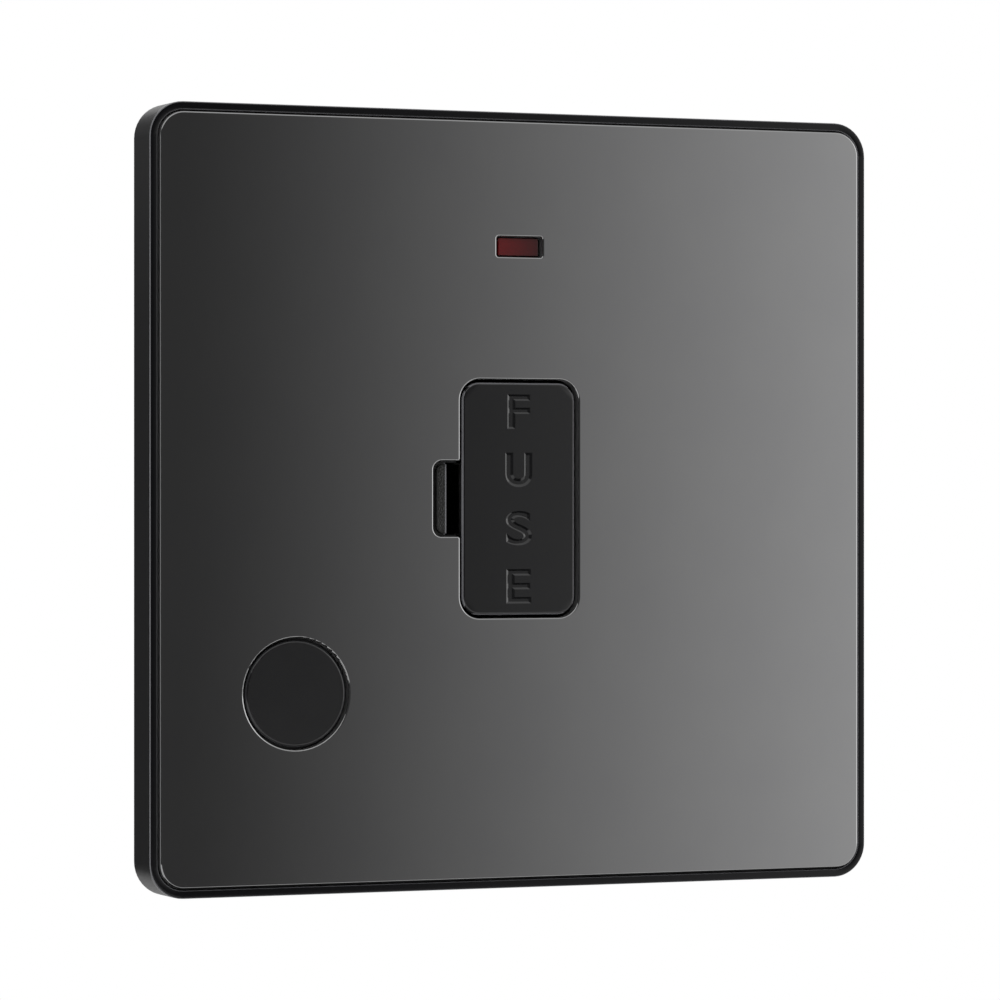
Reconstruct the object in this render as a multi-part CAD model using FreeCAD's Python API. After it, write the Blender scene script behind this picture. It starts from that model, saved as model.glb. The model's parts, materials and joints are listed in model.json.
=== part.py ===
import FreeCAD, Part
import math
import os

from FreeCAD import Vector

# A single gang fused connection unit with a clip-on metal front plate.
# Millimetres. +Z is up, the front faces -Y, and Y = 0 is the face of the wall.
# The origin is midway between the two fixing holes, on the wall.

# Front plate and plastic surround
face_size = 95.0
corner_radius = 4.2
surround_depth = 6.0
rim_width = 1.0
rim_edge_round = 0.2
plate_gap = 0.2
plate_proud = 0.4
plate_thickness = 1.3
plate_edge_round = 0.2
panel_thickness = 2.0
skirt_thickness = 1.8
rib_thickness = 1.2
rib_setback = 0.6
rib_inner_z = 12.0
rib_outer_z = 34.0

# Fuse window with its pry notch, and the drawer that fills it
window_width = 15.75
window_radius = 2.6
window_z = 0.15
window_gap = 0.38
face_recess = 0.3
notch_width = 3.5
notch_height = 9.2
notch_radius = 1.1
notch_throat_radius = 0.3
pad_width = 1.25
pad_height = 8.4
pad_radius = 0.9
pad_raise = 0.45
pad_inset = 0.75
carrier_face_thickness = 2.2
carrier_wall = 1.3
carrier_edge_round = 0.35
carrier_depth = 13.1
guide_gap = 0.4
leg_length = 7.2
leg_width = 6.0
hook_reach = 1.2
hook_length = 2.0
cradle_offset = 4.0
cradle_thickness = 1.6
cradle_wrap = 1.6
stop_gap = 0.2

# Cartridge fuse
fuse_length = 25.4
fuse_cap_diameter = 6.35
fuse_cap_length = 5.5
fuse_cap_wall = 0.3
fuse_tube_diameter = 5.9
fuse_seat_gap = 0.05
fuse_front_gap = 0.525
fuse_end_gap = 0.22

# Indicator window, light guide and lamp
lens_window_width = 6.1
lens_window_height = 2.5
lens_window_radius = 0.3
lens_above_window = 16.25
lens_side_gap = 0.4
lens_gap = 0.18
lens_recess = 0.5
lens_flange = 1.0
lens_flange_border = 1.1
lamp_diameter = 4.8
lamp_length = 13.0
lamp_gap = 0.3
lead_diameter = 0.8
lead_reach = 4.0
lead_bend = 1.5
resistor_diameter = 2.4
resistor_waist = 1.92
resistor_length = 6.5

# Flex outlet and its blanking plug
outlet_x = -29.1
outlet_z = -23.3
outlet_diameter = 13.5
outlet_gap = 0.3
outlet_bore = 11.6
plug_skirt = 1.0
plug_bead = 0.3
plug_edge_round = 0.35
outlet_boss_wall = 2.3

# Fixing to the wall box
fixing_centres = 60.3
fixing_hole = 4.0
fixing_head = 8.0
strap_thickness = 1.2
strap_length = 72.0
strap_ear_height = 12.0
strap_border = 4.2
strap_corner = 1.5
strap_clearance = 0.2
tongue_width = 7.0

# Rear moulding
base_depth = 19.0
base_width = 50.0
base_top = 27.0
base_floor = 2.2
base_corner = 2.0
lamp_house_width = 25.0
lamp_house_wall = 1.6
well_end_gap = 1.0
outlet_clear_x = -9.0
outlet_clear_z = -14.5
pocket_gap = 0.15
tower_wall = 1.7
tower_round = 1.2
tower_chamfer = 0.5
core_wall = 1.6
core_rib = 1.2
core_round = 0.6
back_rib_height = 0.8
back_rib_spacing = 6.5
funnel_flare = 1.1
access_flare = 0.6
barrier_reach = 1.8
barrier_thickness = 1.4
barrier_setback = 2.0

# Terminals
terminal_size = 8.0
terminal_x = 17.5
terminal_from_contact = 6.05
terminal_neutral_z = -4.0
earth_x = 2.5
earth_drop = 0.4
earth_pitch = 10.0
earth_wall = 3.0
wire_bore = 4.2
bore_floor = 0.6
wire_entry = 4.8
strip_thickness = 0.8
post_diameter = 4.4
post_gap = 0.1
screw_diameter = 3.5
screw_head_diameter = 5.6
screw_head_height = 1.8
screw_slot_width = 0.8
screw_slot_depth = 0.9
screw_access = 6.4
screw_seat_gap = 0.1
thread_gap = 0.05

# Fuse contacts
contact_width = 4.4
contact_thickness = 0.6
contact_pinch_gap = 0.13
contact_flare = 1.1
contact_tip = 1.8

# Cord grip
grip_platform = 5.1
grip_room = 6.2
grip_outlet_gap = 0.5
grip_pillar = 3.6
grip_bar_width = 5.0
grip_bar_thickness = 2.4
grip_screw_diameter = 2.9
grip_head_diameter = 4.6
grip_head_height = 1.6
grip_head_gap = 0.3
grip_screw_length = 6.0

# Plate clips and earth spring
clip_inset = 5.3
clip_x = 18.0
clip_width = 6.0
clip_thickness = 0.5
clip_foot = 4.0
clip_reach = 3.9
clip_bulge = 0.5
clip_gap = 0.25
clip_collar_wall = 1.2
clip_collar_height = 2.0
spring_width = 2.0
spring_thickness = 0.4
spring_length = 7.0
spring_foot = 2.0
spring_gap = 0.15
spring_x = 1.0

# Screws that hold the rear moulding to the surround
joiner_diameter = 2.6
joiner_head = 5.0
joiner_cone = 1.4
joiner_sink = 0.2
joiner_length = 9.0
joiner_x = 22.0
joiner_inset = 3.5
joiner_left = (-17.5, -11.4)

# How near two places are taken as one, when edges are picked by where they are
same_place = 0.0001

# Levels along Y, from the wall and then from the front to the back
wall_y = 0.0
face_y = wall_y - surround_depth - plate_proud
panel_front = face_y + plate_thickness
panel_back = panel_front + panel_thickness
strap_front = wall_y - strap_thickness
carrier_front = face_y + face_recess
carrier_back = carrier_front + carrier_depth
cavity_front = carrier_front + carrier_face_thickness
fuse_y = cavity_front + fuse_front_gap + fuse_cap_diameter / 2
strip_front = carrier_back + 2 * guide_gap
strip_back = strip_front + strip_thickness
terminal_back = base_depth - base_floor
leg_back = carrier_back + leg_length
well_back = leg_back + well_end_gap
body_back = well_back + base_floor
core_floor = strip_back + core_wall
collar_back = panel_back + clip_collar_height
carrier_travel = leg_back - hook_length - wall_y - stop_gap
lead_y = strip_front - lead_diameter / 2
wire_y = strip_back + bore_floor + wire_bore / 2

# Widths and places that several pieces share
plate_half = face_size / 2 - rim_width - plate_gap
clip_z = plate_half - clip_inset
window_height = fuse_length + 2 * (fuse_end_gap + carrier_wall + window_gap)
lens_z = window_z + window_height / 2 + lens_above_window
contact_offset = (fuse_length - fuse_cap_length) / 2
terminal_upper_z = contact_offset + terminal_from_contact
carrier_half_x = window_width / 2 - window_gap
carrier_half_z = window_height / 2 - window_gap
well_half_x = carrier_half_x + guide_gap
well_half_z = carrier_half_z + guide_gap
cavity_half_x = carrier_half_x - carrier_wall
cavity_half_z = carrier_half_z - carrier_wall
lead_x = lamp_length / 2 + lead_reach
pad_left = -(window_width / 2 + notch_width) + pad_inset
pad_right = pad_left + pad_width
strap_half_x = well_half_x + strap_border
strap_half_z = well_half_z + strap_border
lamp_house_top = lens_z + lamp_diameter / 2 + lamp_gap + lamp_house_wall
earth_z = window_z - strap_half_z - earth_drop - terminal_size / 2
base_bottom = earth_z - terminal_size / 2 - earth_wall
outlet_boss = outlet_bore + 2 * outlet_boss_wall
grip_left = outlet_x + outlet_boss / 2 + grip_outlet_gap
grip_x = (grip_left + outlet_clear_x) / 2
grip_z = (base_bottom + outlet_clear_z) / 2
grip_spacing = (outlet_clear_z - base_bottom) - grip_head_diameter - 2 * grip_head_gap
grip_floor = panel_back + grip_platform
grip_top = grip_floor + grip_room


def outline(corners, y):
    """A closed wire in the plane Y = y. Each corner is x, z and its radius."""
    count = len(corners)
    starts = []
    for i in range(count):
        x, z, radius = corners[i]
        here = Vector(x, y, z)
        before = Vector(corners[i - 1][0], y, corners[i - 1][1]) - here
        after = Vector(corners[(i + 1) % count][0], y, corners[(i + 1) % count][1]) - here
        before.normalize()
        after.normalize()
        if radius <= 0:
            starts.append((here, None, here))
            continue
        half_angle = before.getAngle(after) / 2
        reach = radius / math.tan(half_angle)
        middle = before + after
        middle.normalize()
        centre = here + middle * (radius / math.sin(half_angle))
        starts.append((here + before * reach, centre - middle * radius, here + after * reach))
    edges = []
    for i in range(count):
        first, mid, last = starts[i]
        if mid is not None:
            edges.append(Part.Arc(first, mid, last).toShape())
        following = starts[(i + 1) % count][0]
        if (following - last).Length > same_place:
            edges.append(Part.LineSegment(last, following).toShape())
    return Part.Wire(edges)


def prism(corners, y0, y1):
    """The outline extruded from y0 to y1."""
    return Part.Face(outline(corners, y0)).extrude(Vector(0, y1 - y0, 0))


def rectangle(x0, x1, z0, z1, radius=0.0):
    return [(x0, z0, radius), (x1, z0, radius), (x1, z1, radius), (x0, z1, radius)]


def centred(x, z, half_x, half_z, radius=0.0):
    return rectangle(x - half_x, x + half_x, z - half_z, z + half_z, radius)


def box(x0, x1, y0, y1, z0, z1):
    return Part.makeBox(x1 - x0, y1 - y0, z1 - z0, Vector(x0, y0, z0))


def rod(diameter, y0, y1, x, z):
    """A cylinder along Y."""
    return Part.makeCylinder(diameter / 2, y1 - y0, Vector(x, y0, z), Vector(0, 1, 0))


def rod_z(diameter, z0, z1, x, y):
    return Part.makeCylinder(diameter / 2, z1 - z0, Vector(x, y, z0))


def rod_x(diameter, x0, x1, y, z):
    return Part.makeCylinder(diameter / 2, x1 - x0, Vector(x0, y, z), Vector(1, 0, 0))


def beside(points, distance, z):
    """The line of x, y points moved sideways by a distance, with mitred corners."""
    moved = []
    for i, (x, y) in enumerate(points):
        normals = []
        for first, second in ((i - 1, i), (i, i + 1)):
            if first < 0 or second >= len(points):
                continue
            step = Vector(points[second][0] - points[first][0], points[second][1] - points[first][1], 0)
            step.normalize()
            normals.append(Vector(-step.y, step.x, 0))
        mitre = normals[0] + normals[-1]
        mitre.normalize()
        moved.append(Vector(x, y, z) + mitre * (distance / mitre.dot(normals[0])))
    return moved


def strip(points, thickness, z0, z1):
    """Bent sheet: a line of x, y points given a thickness and extruded along Z."""
    half = thickness / 2
    loop = beside(points, half, z0) + beside(points, -half, z0)[::-1]
    loop.append(loop[0])
    return Part.Face(Part.makePolygon(loop)).extrude(Vector(0, 0, z1 - z0))


def upright(shape):
    """A strip whose points were z, y and its width along X, brought to its place."""
    shape.rotate(Vector(0, 0, 0), Vector(0, 1, 0), -90)
    return shape.mirror(Vector(0, 0, 0), Vector(1, 0, 0))


def joined(shapes):
    """All the shapes fused into one clean solid."""
    result = shapes[0]
    if len(shapes) > 1:
        result = result.multiFuse(shapes[1:])
    return result.removeSplitter()


def edges_at(shape, y):
    """Edges that lie in the plane Y = y."""
    return [edge for edge in shape.Edges
            if abs(edge.BoundBox.YMin - y) < same_place and abs(edge.BoundBox.YMax - y) < same_place]


def edges_at_height(shape, z):
    """Edges that lie in the plane Z = z."""
    return [edge for edge in shape.Edges
            if abs(edge.BoundBox.ZMin - z) < same_place and abs(edge.BoundBox.ZMax - z) < same_place]


def window_corners(grow=0.0):
    """The fuse window with the pry notch in its left side."""
    right = window_width / 2 + grow
    left = -right
    top = window_z + window_height / 2 + grow
    bottom = window_z - window_height / 2 - grow
    notch = left - notch_width
    notch_top = window_z + notch_height / 2 + grow
    notch_bottom = window_z - notch_height / 2 - grow
    return [
        (left, bottom, window_radius), (right, bottom, window_radius),
        (right, top, window_radius), (left, top, window_radius),
        (left, notch_top, notch_throat_radius), (notch, notch_top, notch_radius),
        (notch, notch_bottom, notch_radius), (left, notch_bottom, notch_throat_radius),
    ]


def terminal_places():
    """Name, x and z of each single terminal block."""
    return {
        "supply_live_terminal": (terminal_x, -terminal_upper_z),
        "load_live_terminal": (terminal_x, terminal_upper_z),
        "supply_neutral_terminal": (-terminal_x, terminal_neutral_z),
        "load_neutral_terminal": (-terminal_x, terminal_upper_z),
    }


def earth_screw_places():
    return [(earth_x - earth_pitch / 2, earth_z), (earth_x + earth_pitch / 2, earth_z)]


def joiner_places():
    upper = base_top - joiner_inset
    lower = base_bottom + joiner_inset
    return [(joiner_x, upper), (-joiner_x, upper), (joiner_x, lower), joiner_left]


def clip_places():
    """x, z and the side of each plate clip: +1 at the plate's top edge, -1 at its bottom edge."""
    return [(sx * clip_x, sz * clip_z, sz) for sx in (-1, 1) for sz in (-1, 1)]


def clip_box(place, y0, y1, reach, margin=0.0):
    """A block round a clip, from so far inside it to its bulge, with a margin all round."""
    x, z, side = place
    half = clip_width / 2 + clip_gap + margin
    inner = z - side * (reach + clip_gap + margin)
    outer = z + side * (clip_bulge + clip_thickness / 2 + clip_gap + margin)
    z0, z1 = sorted((inner, outer))
    return box(x - half, x + half, y0, y1, z0, z1)


def front_plate():
    """Flat metal plate with windows for the fuse drawer, the indicator and the flex."""
    radius = corner_radius - rim_width - plate_gap
    plate = prism(centred(0, 0, plate_half, plate_half, radius), face_y, panel_front)
    plate = plate.cut(prism(window_corners(), face_y, panel_front))
    lens = centred(0, lens_z, lens_window_width / 2, lens_window_height / 2, lens_window_radius)
    plate = plate.cut(prism(lens, face_y, panel_front))
    plate = plate.cut(rod(outlet_diameter, face_y, panel_front, outlet_x, outlet_z))
    return plate.makeFillet(plate_edge_round, edges_at(plate, face_y))


def plate_clips():
    """Four spring steel clips, welded behind the plate, that hold it in the surround."""
    clips = []
    for x, z, side in clip_places():
        back = panel_front + clip_reach
        knee = panel_back + clip_bulge
        points = [
            (z - side * clip_foot, panel_front + clip_thickness / 2),
            (z, panel_front + clip_thickness / 2),
            (z, panel_back - clip_bulge),
            (z + side * clip_bulge, knee),
            (z, back),
        ]
        clips.append(upright(strip(points, clip_thickness, x - clip_width / 2, x + clip_width / 2)))
    return Part.makeCompound(clips)


def surround_shell():
    """Rim, skirt and panel of the plastic surround, before its holes."""
    half = face_size / 2
    rim_y = wall_y - surround_depth
    shell = prism(centred(0, 0, half, half, corner_radius), rim_y, wall_y)
    shell = shell.makeFillet(rim_edge_round, edges_at(shell, rim_y))
    inner = half - rim_width
    recess = centred(0, 0, inner, inner, corner_radius - rim_width)
    shell = shell.cut(prism(recess, rim_y, panel_front))
    hollow = half - skirt_thickness
    cavity = centred(0, 0, hollow, hollow, corner_radius - skirt_thickness)
    return shell.cut(prism(cavity, panel_back, wall_y))


def surround_ribs():
    """Stiffening ribs behind the panel, between the skirt and the rear moulding."""
    reach = face_size / 2 - skirt_thickness / 2
    back = -rib_setback
    half = rib_thickness / 2
    start = base_width / 2 + strap_clearance
    ribs = []
    for side in (-1, 1):
        x0, x1 = sorted((side * start, side * reach))
        for z in (-rib_outer_z, -rib_inner_z, rib_inner_z, rib_outer_z):
            ribs.append(box(x0, x1, panel_back, back, z - half, z + half))
        x = side * (start + half)
        ribs.append(box(x - half, x + half, panel_back, back, base_top + strap_clearance, reach))
        ribs.append(box(x - half, x + half, panel_back, back, -reach, base_bottom - strap_clearance))
    return ribs


def surround_posts():
    """Posts that press the terminals into their pockets."""
    posts = []
    for x, z in terminal_places().values():
        posts.append(rod(post_diameter, panel_back, strip_front - post_gap, x, z))
    foot_front = strip_back - strap_thickness
    for x, z in earth_screw_places():
        posts.append(rod(post_diameter, panel_back, foot_front - post_gap, x, z))
    return posts


def clip_collars():
    """Walls behind the panel round the slots that the plate's clips go through."""
    return [clip_box(place, panel_back, collar_back, clip_thickness / 2, clip_collar_wall)
            for place in clip_places()]


def pry_pad():
    """Textured island in the pry notch, beside the slot."""
    z0 = window_z - pad_height / 2
    z1 = window_z + pad_height / 2
    corners = [(pad_left, z0, pad_radius), (pad_right, z0, 0), (pad_right, z1, 0),
               (pad_left, z1, pad_radius)]
    return prism(corners, panel_front - pad_raise, panel_front)


def panel_cuts():
    """Everything that is cut from the surround's panel."""
    cuts = []
    drawer = centred(0, window_z, well_half_x, well_half_z, window_radius)
    cuts.append(prism(drawer, panel_front, strap_front))
    slot_z = notch_height / 2 - window_gap / 2
    slot = rectangle(pad_right, 0, window_z - slot_z, window_z + slot_z)
    cuts.append(prism(slot, panel_front, strap_front))
    half_x = lens_window_width / 2 - lens_side_gap + 2 * thread_gap
    half_z = lens_window_height / 2 - lens_gap + 2 * thread_gap
    cuts.append(prism(centred(0, lens_z, half_x, half_z), panel_front, panel_back))
    cuts.append(rod(outlet_bore, panel_front, wall_y, outlet_x, outlet_z))
    for side in (-1, 1):
        cuts.append(rod(fixing_head, panel_front, strap_front, side * fixing_centres / 2, 0))
    seat = panel_front + clip_thickness + clip_gap
    for place in clip_places():
        cuts.append(clip_box(place, panel_front, collar_back, clip_thickness / 2))
        cuts.append(clip_box(place, panel_front, seat, clip_foot))
    low = spring_z() - spring_width / 2 - clip_gap
    high = spring_z() + spring_width / 2 + clip_gap
    cuts.append(box(spring_x - clip_gap, spring_x + spring_length + clip_gap,
                    panel_front, strap_front, low, high))
    for x, z in joiner_places():
        cuts.append(joiner(x, z, thread_gap))
        cuts.append(rod(joiner_head + 2 * thread_gap, panel_front, panel_front + joiner_sink, x, z))
    return cuts


def mounting_frame():
    """Plastic surround: rim, skirt, panel, seat for the strap, ribs, posts and flex boss."""
    parts = [surround_shell(), pry_pad(), prism(strap_corners(), panel_back, strap_front)]
    parts += surround_ribs()
    parts += surround_posts()
    parts += clip_collars()
    parts.append(rod(outlet_boss, panel_back, -rib_setback, outlet_x, outlet_z))
    frame = joined(parts)
    return frame.cut(Part.makeCompound(panel_cuts())).removeSplitter()


def drawer_shell():
    """The drawer's block, hollowed from behind and open on its left side."""
    radius = window_radius - window_gap
    block = prism(centred(0, window_z, carrier_half_x, carrier_half_z, radius),
                  carrier_front, carrier_back)
    block = block.makeFillet(carrier_edge_round, edges_at(block, carrier_front))
    inner = max(radius - carrier_wall, 0.0)
    block = block.cut(prism(centred(0, window_z, cavity_half_x, cavity_half_z, inner),
                            cavity_front, carrier_back))
    front = fuse_y - fuse_cap_diameter / 2 - guide_gap / 4
    back = fuse_y + fuse_cap_diameter / 2 + guide_gap
    side = centred(-carrier_half_x, window_z, carrier_wall + guide_gap, cavity_half_z)
    block = block.cut(prism(side, front, back))
    pry_half = notch_height / 2 - window_gap
    lip = carrier_face_thickness / 2
    pry = box(-carrier_half_x, -cavity_half_x, carrier_front + lip, front,
              window_z - pry_half, window_z + pry_half)
    return block.cut(pry)


def drawer_cradles():
    """Two cradles that the fuse snaps into from the left."""
    cradles = []
    seat = fuse_tube_diameter + 2 * fuse_seat_gap
    back = fuse_y + fuse_cap_diameter / 2 + guide_gap
    for side in (-1, 1):
        z = window_z + side * cradle_offset
        z0 = z - cradle_thickness / 2
        z1 = z + cradle_thickness / 2
        block = box(-cradle_wrap, cavity_half_x, cavity_front, back, z0, z1)
        cradles.append(block.cut(rod_z(seat, z0, z1, 0, fuse_y)))
    return cradles


def drawer_legs():
    """Two legs with hooks that stop the drawer when it is pulled out."""
    legs = []
    z0 = window_z - leg_width / 2
    z1 = window_z + leg_width / 2
    tip = carrier_half_x + hook_reach
    step = leg_back - hook_length
    for side in (-1, 1):
        points = [(cavity_half_x, carrier_back - carrier_wall), (cavity_half_x, leg_back),
                  (carrier_half_x, leg_back), (tip, leg_back - hook_length / 2), (tip, step),
                  (carrier_half_x, step), (carrier_half_x, carrier_back - carrier_wall)]
        loop = [Vector(side * x, y, z0) for x, y in points]
        loop.append(loop[0])
        legs.append(Part.Face(Part.makePolygon(loop)).extrude(Vector(0, 0, z1 - z0)))
    return legs


def fuse_carrier():
    """Drawer that holds the fuse."""
    return joined([drawer_shell()] + drawer_cradles() + drawer_legs())


def fuse_tube():
    inset = fuse_cap_wall
    z0 = window_z - fuse_length / 2 + inset
    z1 = window_z + fuse_length / 2 - inset
    tube = rod_z(fuse_tube_diameter, z0, z1, 0, fuse_y)
    rebate = fuse_cap_length - inset
    for base, side in ((z0, 1), (z1, -1)):
        low, high = sorted((base, base + side * rebate))
        ring = rod_z(fuse_cap_diameter, low, high, 0, fuse_y)
        core = rod_z(fuse_cap_diameter - 2 * fuse_cap_wall, low, high, 0, fuse_y)
        tube = tube.cut(ring.cut(core))
    return tube


def fuse_cap(side):
    """Pressed metal cap on one end of the fuse; side is +1 above and -1 below."""
    end = window_z + side * fuse_length / 2
    low, high = sorted((end, end - side * fuse_cap_length))
    cap = rod_z(fuse_cap_diameter, low, high, 0, fuse_y)
    cap = cap.makeFillet(fuse_cap_wall, edges_at_height(cap, end))
    inner_end = end - side * fuse_cap_wall
    low, high = sorted((inner_end, end - side * fuse_cap_length))
    bore = rod_z(fuse_cap_diameter - 2 * fuse_cap_wall, low, high, 0, fuse_y)
    return cap.cut(bore)


def strap_corners(grow=0.0, half_length=strap_length / 2):
    """Cross-shaped outline of the strap: two ears and a middle around the drawer."""
    ear = strap_ear_height / 2 + grow
    half_x = strap_half_x + grow
    top = window_z + strap_half_z + grow
    bottom = window_z - strap_half_z - grow
    end = half_length + grow
    r = strap_corner
    return [
        (-end, -ear, r), (-half_x, -ear, r), (-half_x, bottom, r), (half_x, bottom, r),
        (half_x, -ear, r), (end, -ear, r), (end, ear, r), (half_x, ear, r),
        (half_x, top, r), (-half_x, top, r), (-half_x, ear, r), (-end, ear, r),
    ]


def mounting_strap():
    """Steel strap with the two fixing holes and a tongue that reaches the earth block."""
    plate = prism(strap_corners(), strap_front, wall_y)
    tongue_top = window_z - strap_half_z
    x0 = earth_x - tongue_width / 2
    x1 = earth_x + tongue_width / 2
    foot_end = earth_z - terminal_size / 2
    foot_front = strip_back - strap_thickness
    tongue = box(x0, x1, strap_front, strip_back, tongue_top - strap_thickness, tongue_top)
    foot = box(x0, x1, foot_front, strip_back, foot_end, tongue_top)
    plate = joined([plate, tongue, foot])
    window = centred(0, window_z, well_half_x, well_half_z, window_radius)
    plate = plate.cut(prism(window, strap_front, wall_y))
    for side in (-1, 1):
        hole = rod(fixing_hole, strap_front, wall_y, side * fixing_centres / 2, 0)
        plate = plate.cut(hole)
    for x, z in terminal_places().values():
        plate = plate.cut(rod(post_diameter + 2 * strap_clearance, strap_front, wall_y, x, z))
    return plate


def spring_z():
    """Height of the earth spring, in the middle of the strap below the drawer."""
    return window_z - (well_half_z + strap_half_z) / 2


def earth_spring():
    """Leaf on the strap that touches the back of the metal plate."""
    half = spring_thickness / 2
    low = strap_front - half
    high = panel_front + spring_gap + half
    start = spring_x
    end = spring_x + spring_length
    points = [(start, low), (start + spring_foot, low), ((start + end + spring_foot) / 2, high),
              (end, low - half)]
    z = spring_z()
    return strip(points, spring_thickness, z - spring_width / 2, z + spring_width / 2)


def tower_spans():
    """Low and high x and z of the raised housing over each terminal, out to the moulding's side."""
    reach = terminal_size / 2 + tower_wall
    spans = []
    for x, z in terminal_places().values():
        x0, x1 = sorted((x - math.copysign(reach, x), math.copysign(base_width / 2, x)))
        spans.append((x0, x1, z - reach, z + reach))
    wide = earth_half_width() + tower_wall
    spans.append((outlet_clear_x, earth_x + wide, base_bottom, earth_z + reach))
    return spans


def terminal_towers():
    towers = []
    for x0, x1, z0, z1 in tower_spans():
        tower = prism(rectangle(x0, x1, z0, z1, tower_round), panel_back, base_depth)
        towers.append(tower.makeChamfer(tower_chamfer, edges_at(tower, base_depth)))
    return towers


def back_ribs():
    """Low ribs across the moulding behind the drawer's well."""
    ribs = []
    half = core_rib / 2
    for i in (-1, 0, 1):
        z = window_z + i * back_rib_spacing
        ribs.append(box(-well_half_x, well_half_x, body_back - half, body_back + back_rib_height,
                        z - half, z + half))
    return ribs


def wire_barriers():
    """Fins on the moulding's sides that keep the conductors apart."""
    fins = []
    side = base_width / 2
    back = body_back - base_corner
    half = barrier_thickness / 2
    neutral_middle = (terminal_upper_z + terminal_neutral_z) / 2
    live_middle = terminal_upper_z / 2
    for hand, z in ((-1, neutral_middle), (1, live_middle), (1, -live_middle)):
        x0, x1 = sorted((hand * (side - half), hand * (side + barrier_reach)))
        fins.append(box(x0, x1, wall_y + barrier_setback, back, z - half, z + half))
    return fins


def cored_row(x0, x1, z0, z1, count, along_x):
    """Equal pockets in a row, open to the back, with ribs left between them."""
    pockets = []
    start, end = (x0, x1) if along_x else (z0, z1)
    length = (end - start - (count - 1) * core_rib) / count
    for i in range(count):
        low = start + i * (length + core_rib)
        span = (low, low + length, z0, z1) if along_x else (x0, x1, low, low + length)
        pockets.append(prism(rectangle(*span, core_round), core_floor, base_depth))
    return pockets


def cored_pockets():
    """Pockets that keep the moulding's walls even, between and beside the terminals."""
    reach = terminal_size / 2 + tower_wall
    inner = carrier_half_x + hook_reach + guide_gap + core_wall
    outer = base_width / 2 - core_wall
    top = window_z + well_half_z + core_wall
    lamp_low = lens_z - lamp_diameter / 2 - lamp_gap - core_wall
    middle = terminal_x - reach - core_wall
    pockets = cored_row(inner, outer, -terminal_upper_z + reach, terminal_upper_z - reach, 3, False)
    pockets += cored_row(-outer, -inner, terminal_neutral_z + reach, terminal_upper_z - reach, 2, True)
    pockets += cored_row(-middle, middle, top, lamp_low, 3, True)
    corner_left = earth_x + earth_half_width() + tower_wall + core_wall
    pockets += cored_row(corner_left, outer, base_bottom + core_wall, -terminal_upper_z - reach - core_wall,
                         1, True)
    return pockets


def base_block():
    """Outer form of the rear moulding, with the cord grip's platform and pillars."""
    half = base_width / 2
    house = lamp_house_width / 2
    r = base_corner
    corners = [
        (-half, outlet_clear_z, r), (outlet_clear_x, outlet_clear_z, 0),
        (outlet_clear_x, base_bottom, r), (half, base_bottom, r), (half, base_top, r),
        (house, base_top, 0), (house, lamp_house_top, r), (-house, lamp_house_top, r),
        (-house, base_top, 0), (-half, base_top, r),
    ]
    block = prism(corners, panel_back, body_back)
    block = block.makeChamfer(base_corner / 2, edges_at(block, body_back))
    platform = box(grip_left, outlet_clear_x, panel_back, grip_floor, base_bottom, outlet_clear_z)
    parts = [block, platform] + terminal_towers() + back_ribs() + wire_barriers()
    left = grip_x - grip_bar_width / 2
    right = grip_x + grip_bar_width / 2
    lower = grip_z - (grip_spacing - grip_pillar) / 2
    upper = grip_z + (grip_spacing - grip_pillar) / 2
    parts.append(box(left, right, panel_back, grip_top, base_bottom, lower))
    parts.append(box(left, right, panel_back, grip_top, upper, outlet_clear_z))
    return joined(parts)


def drawer_well():
    """The space that the drawer slides in, its hook channels and the strap's recess."""
    well = prism(centred(0, window_z, well_half_x, well_half_z), panel_back, well_back)
    reach = carrier_half_x + hook_reach + guide_gap
    channel = box(-reach, reach, panel_back, well_back, window_z - leg_width / 2 - guide_gap,
                  window_z + leg_width / 2 + guide_gap)
    recess = prism(strap_corners(strap_clearance, base_width), panel_back, wall_y)
    return [well, channel, recess]


def flared_mouth(diameter, flare, mouth, inward):
    """A cone that widens a round hole at its mouth."""
    return Part.makeCone(diameter / 2 + flare, diameter / 2, flare, mouth, inward)


def terminal_pockets():
    """Pockets for the terminals, with a wire entry and screwdriver access for each."""
    cuts = []
    half = terminal_size / 2 + pocket_gap
    for x, z in terminal_places().values():
        cuts.append(box(x - half, x + half, panel_back, terminal_back, z - half, z + half))
        x0, x1 = sorted((x, math.copysign(base_width, x)))
        cuts.append(rod_x(wire_entry, x0, x1, wire_y, z))
        mouth = Vector(math.copysign(base_width / 2, x), wire_y, z)
        cuts.append(flared_mouth(wire_entry, funnel_flare, mouth, Vector(-x, 0, 0)))
        cuts.append(rod(screw_access, terminal_back, base_depth, x, z))
        cuts.append(flared_mouth(screw_access, access_flare, Vector(x, base_depth, z), Vector(0, -1, 0)))
    wide = earth_half_width() + pocket_gap
    top = window_z - strap_half_z + strap_clearance
    cuts.append(box(earth_x - wide, earth_x + wide, panel_back, terminal_back, earth_z - half, top))
    for x, z in earth_screw_places():
        cuts.append(rod_z(wire_entry, base_bottom, z, x, wire_y))
        mouth = Vector(x, wire_y, base_bottom)
        cuts.append(flared_mouth(wire_entry, funnel_flare, mouth, Vector(0, 0, 1)))
        cuts.append(rod(screw_access, terminal_back, base_depth, x, z))
        cuts.append(flared_mouth(screw_access, access_flare, Vector(x, base_depth, z), Vector(0, -1, 0)))
    return cuts


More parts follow.
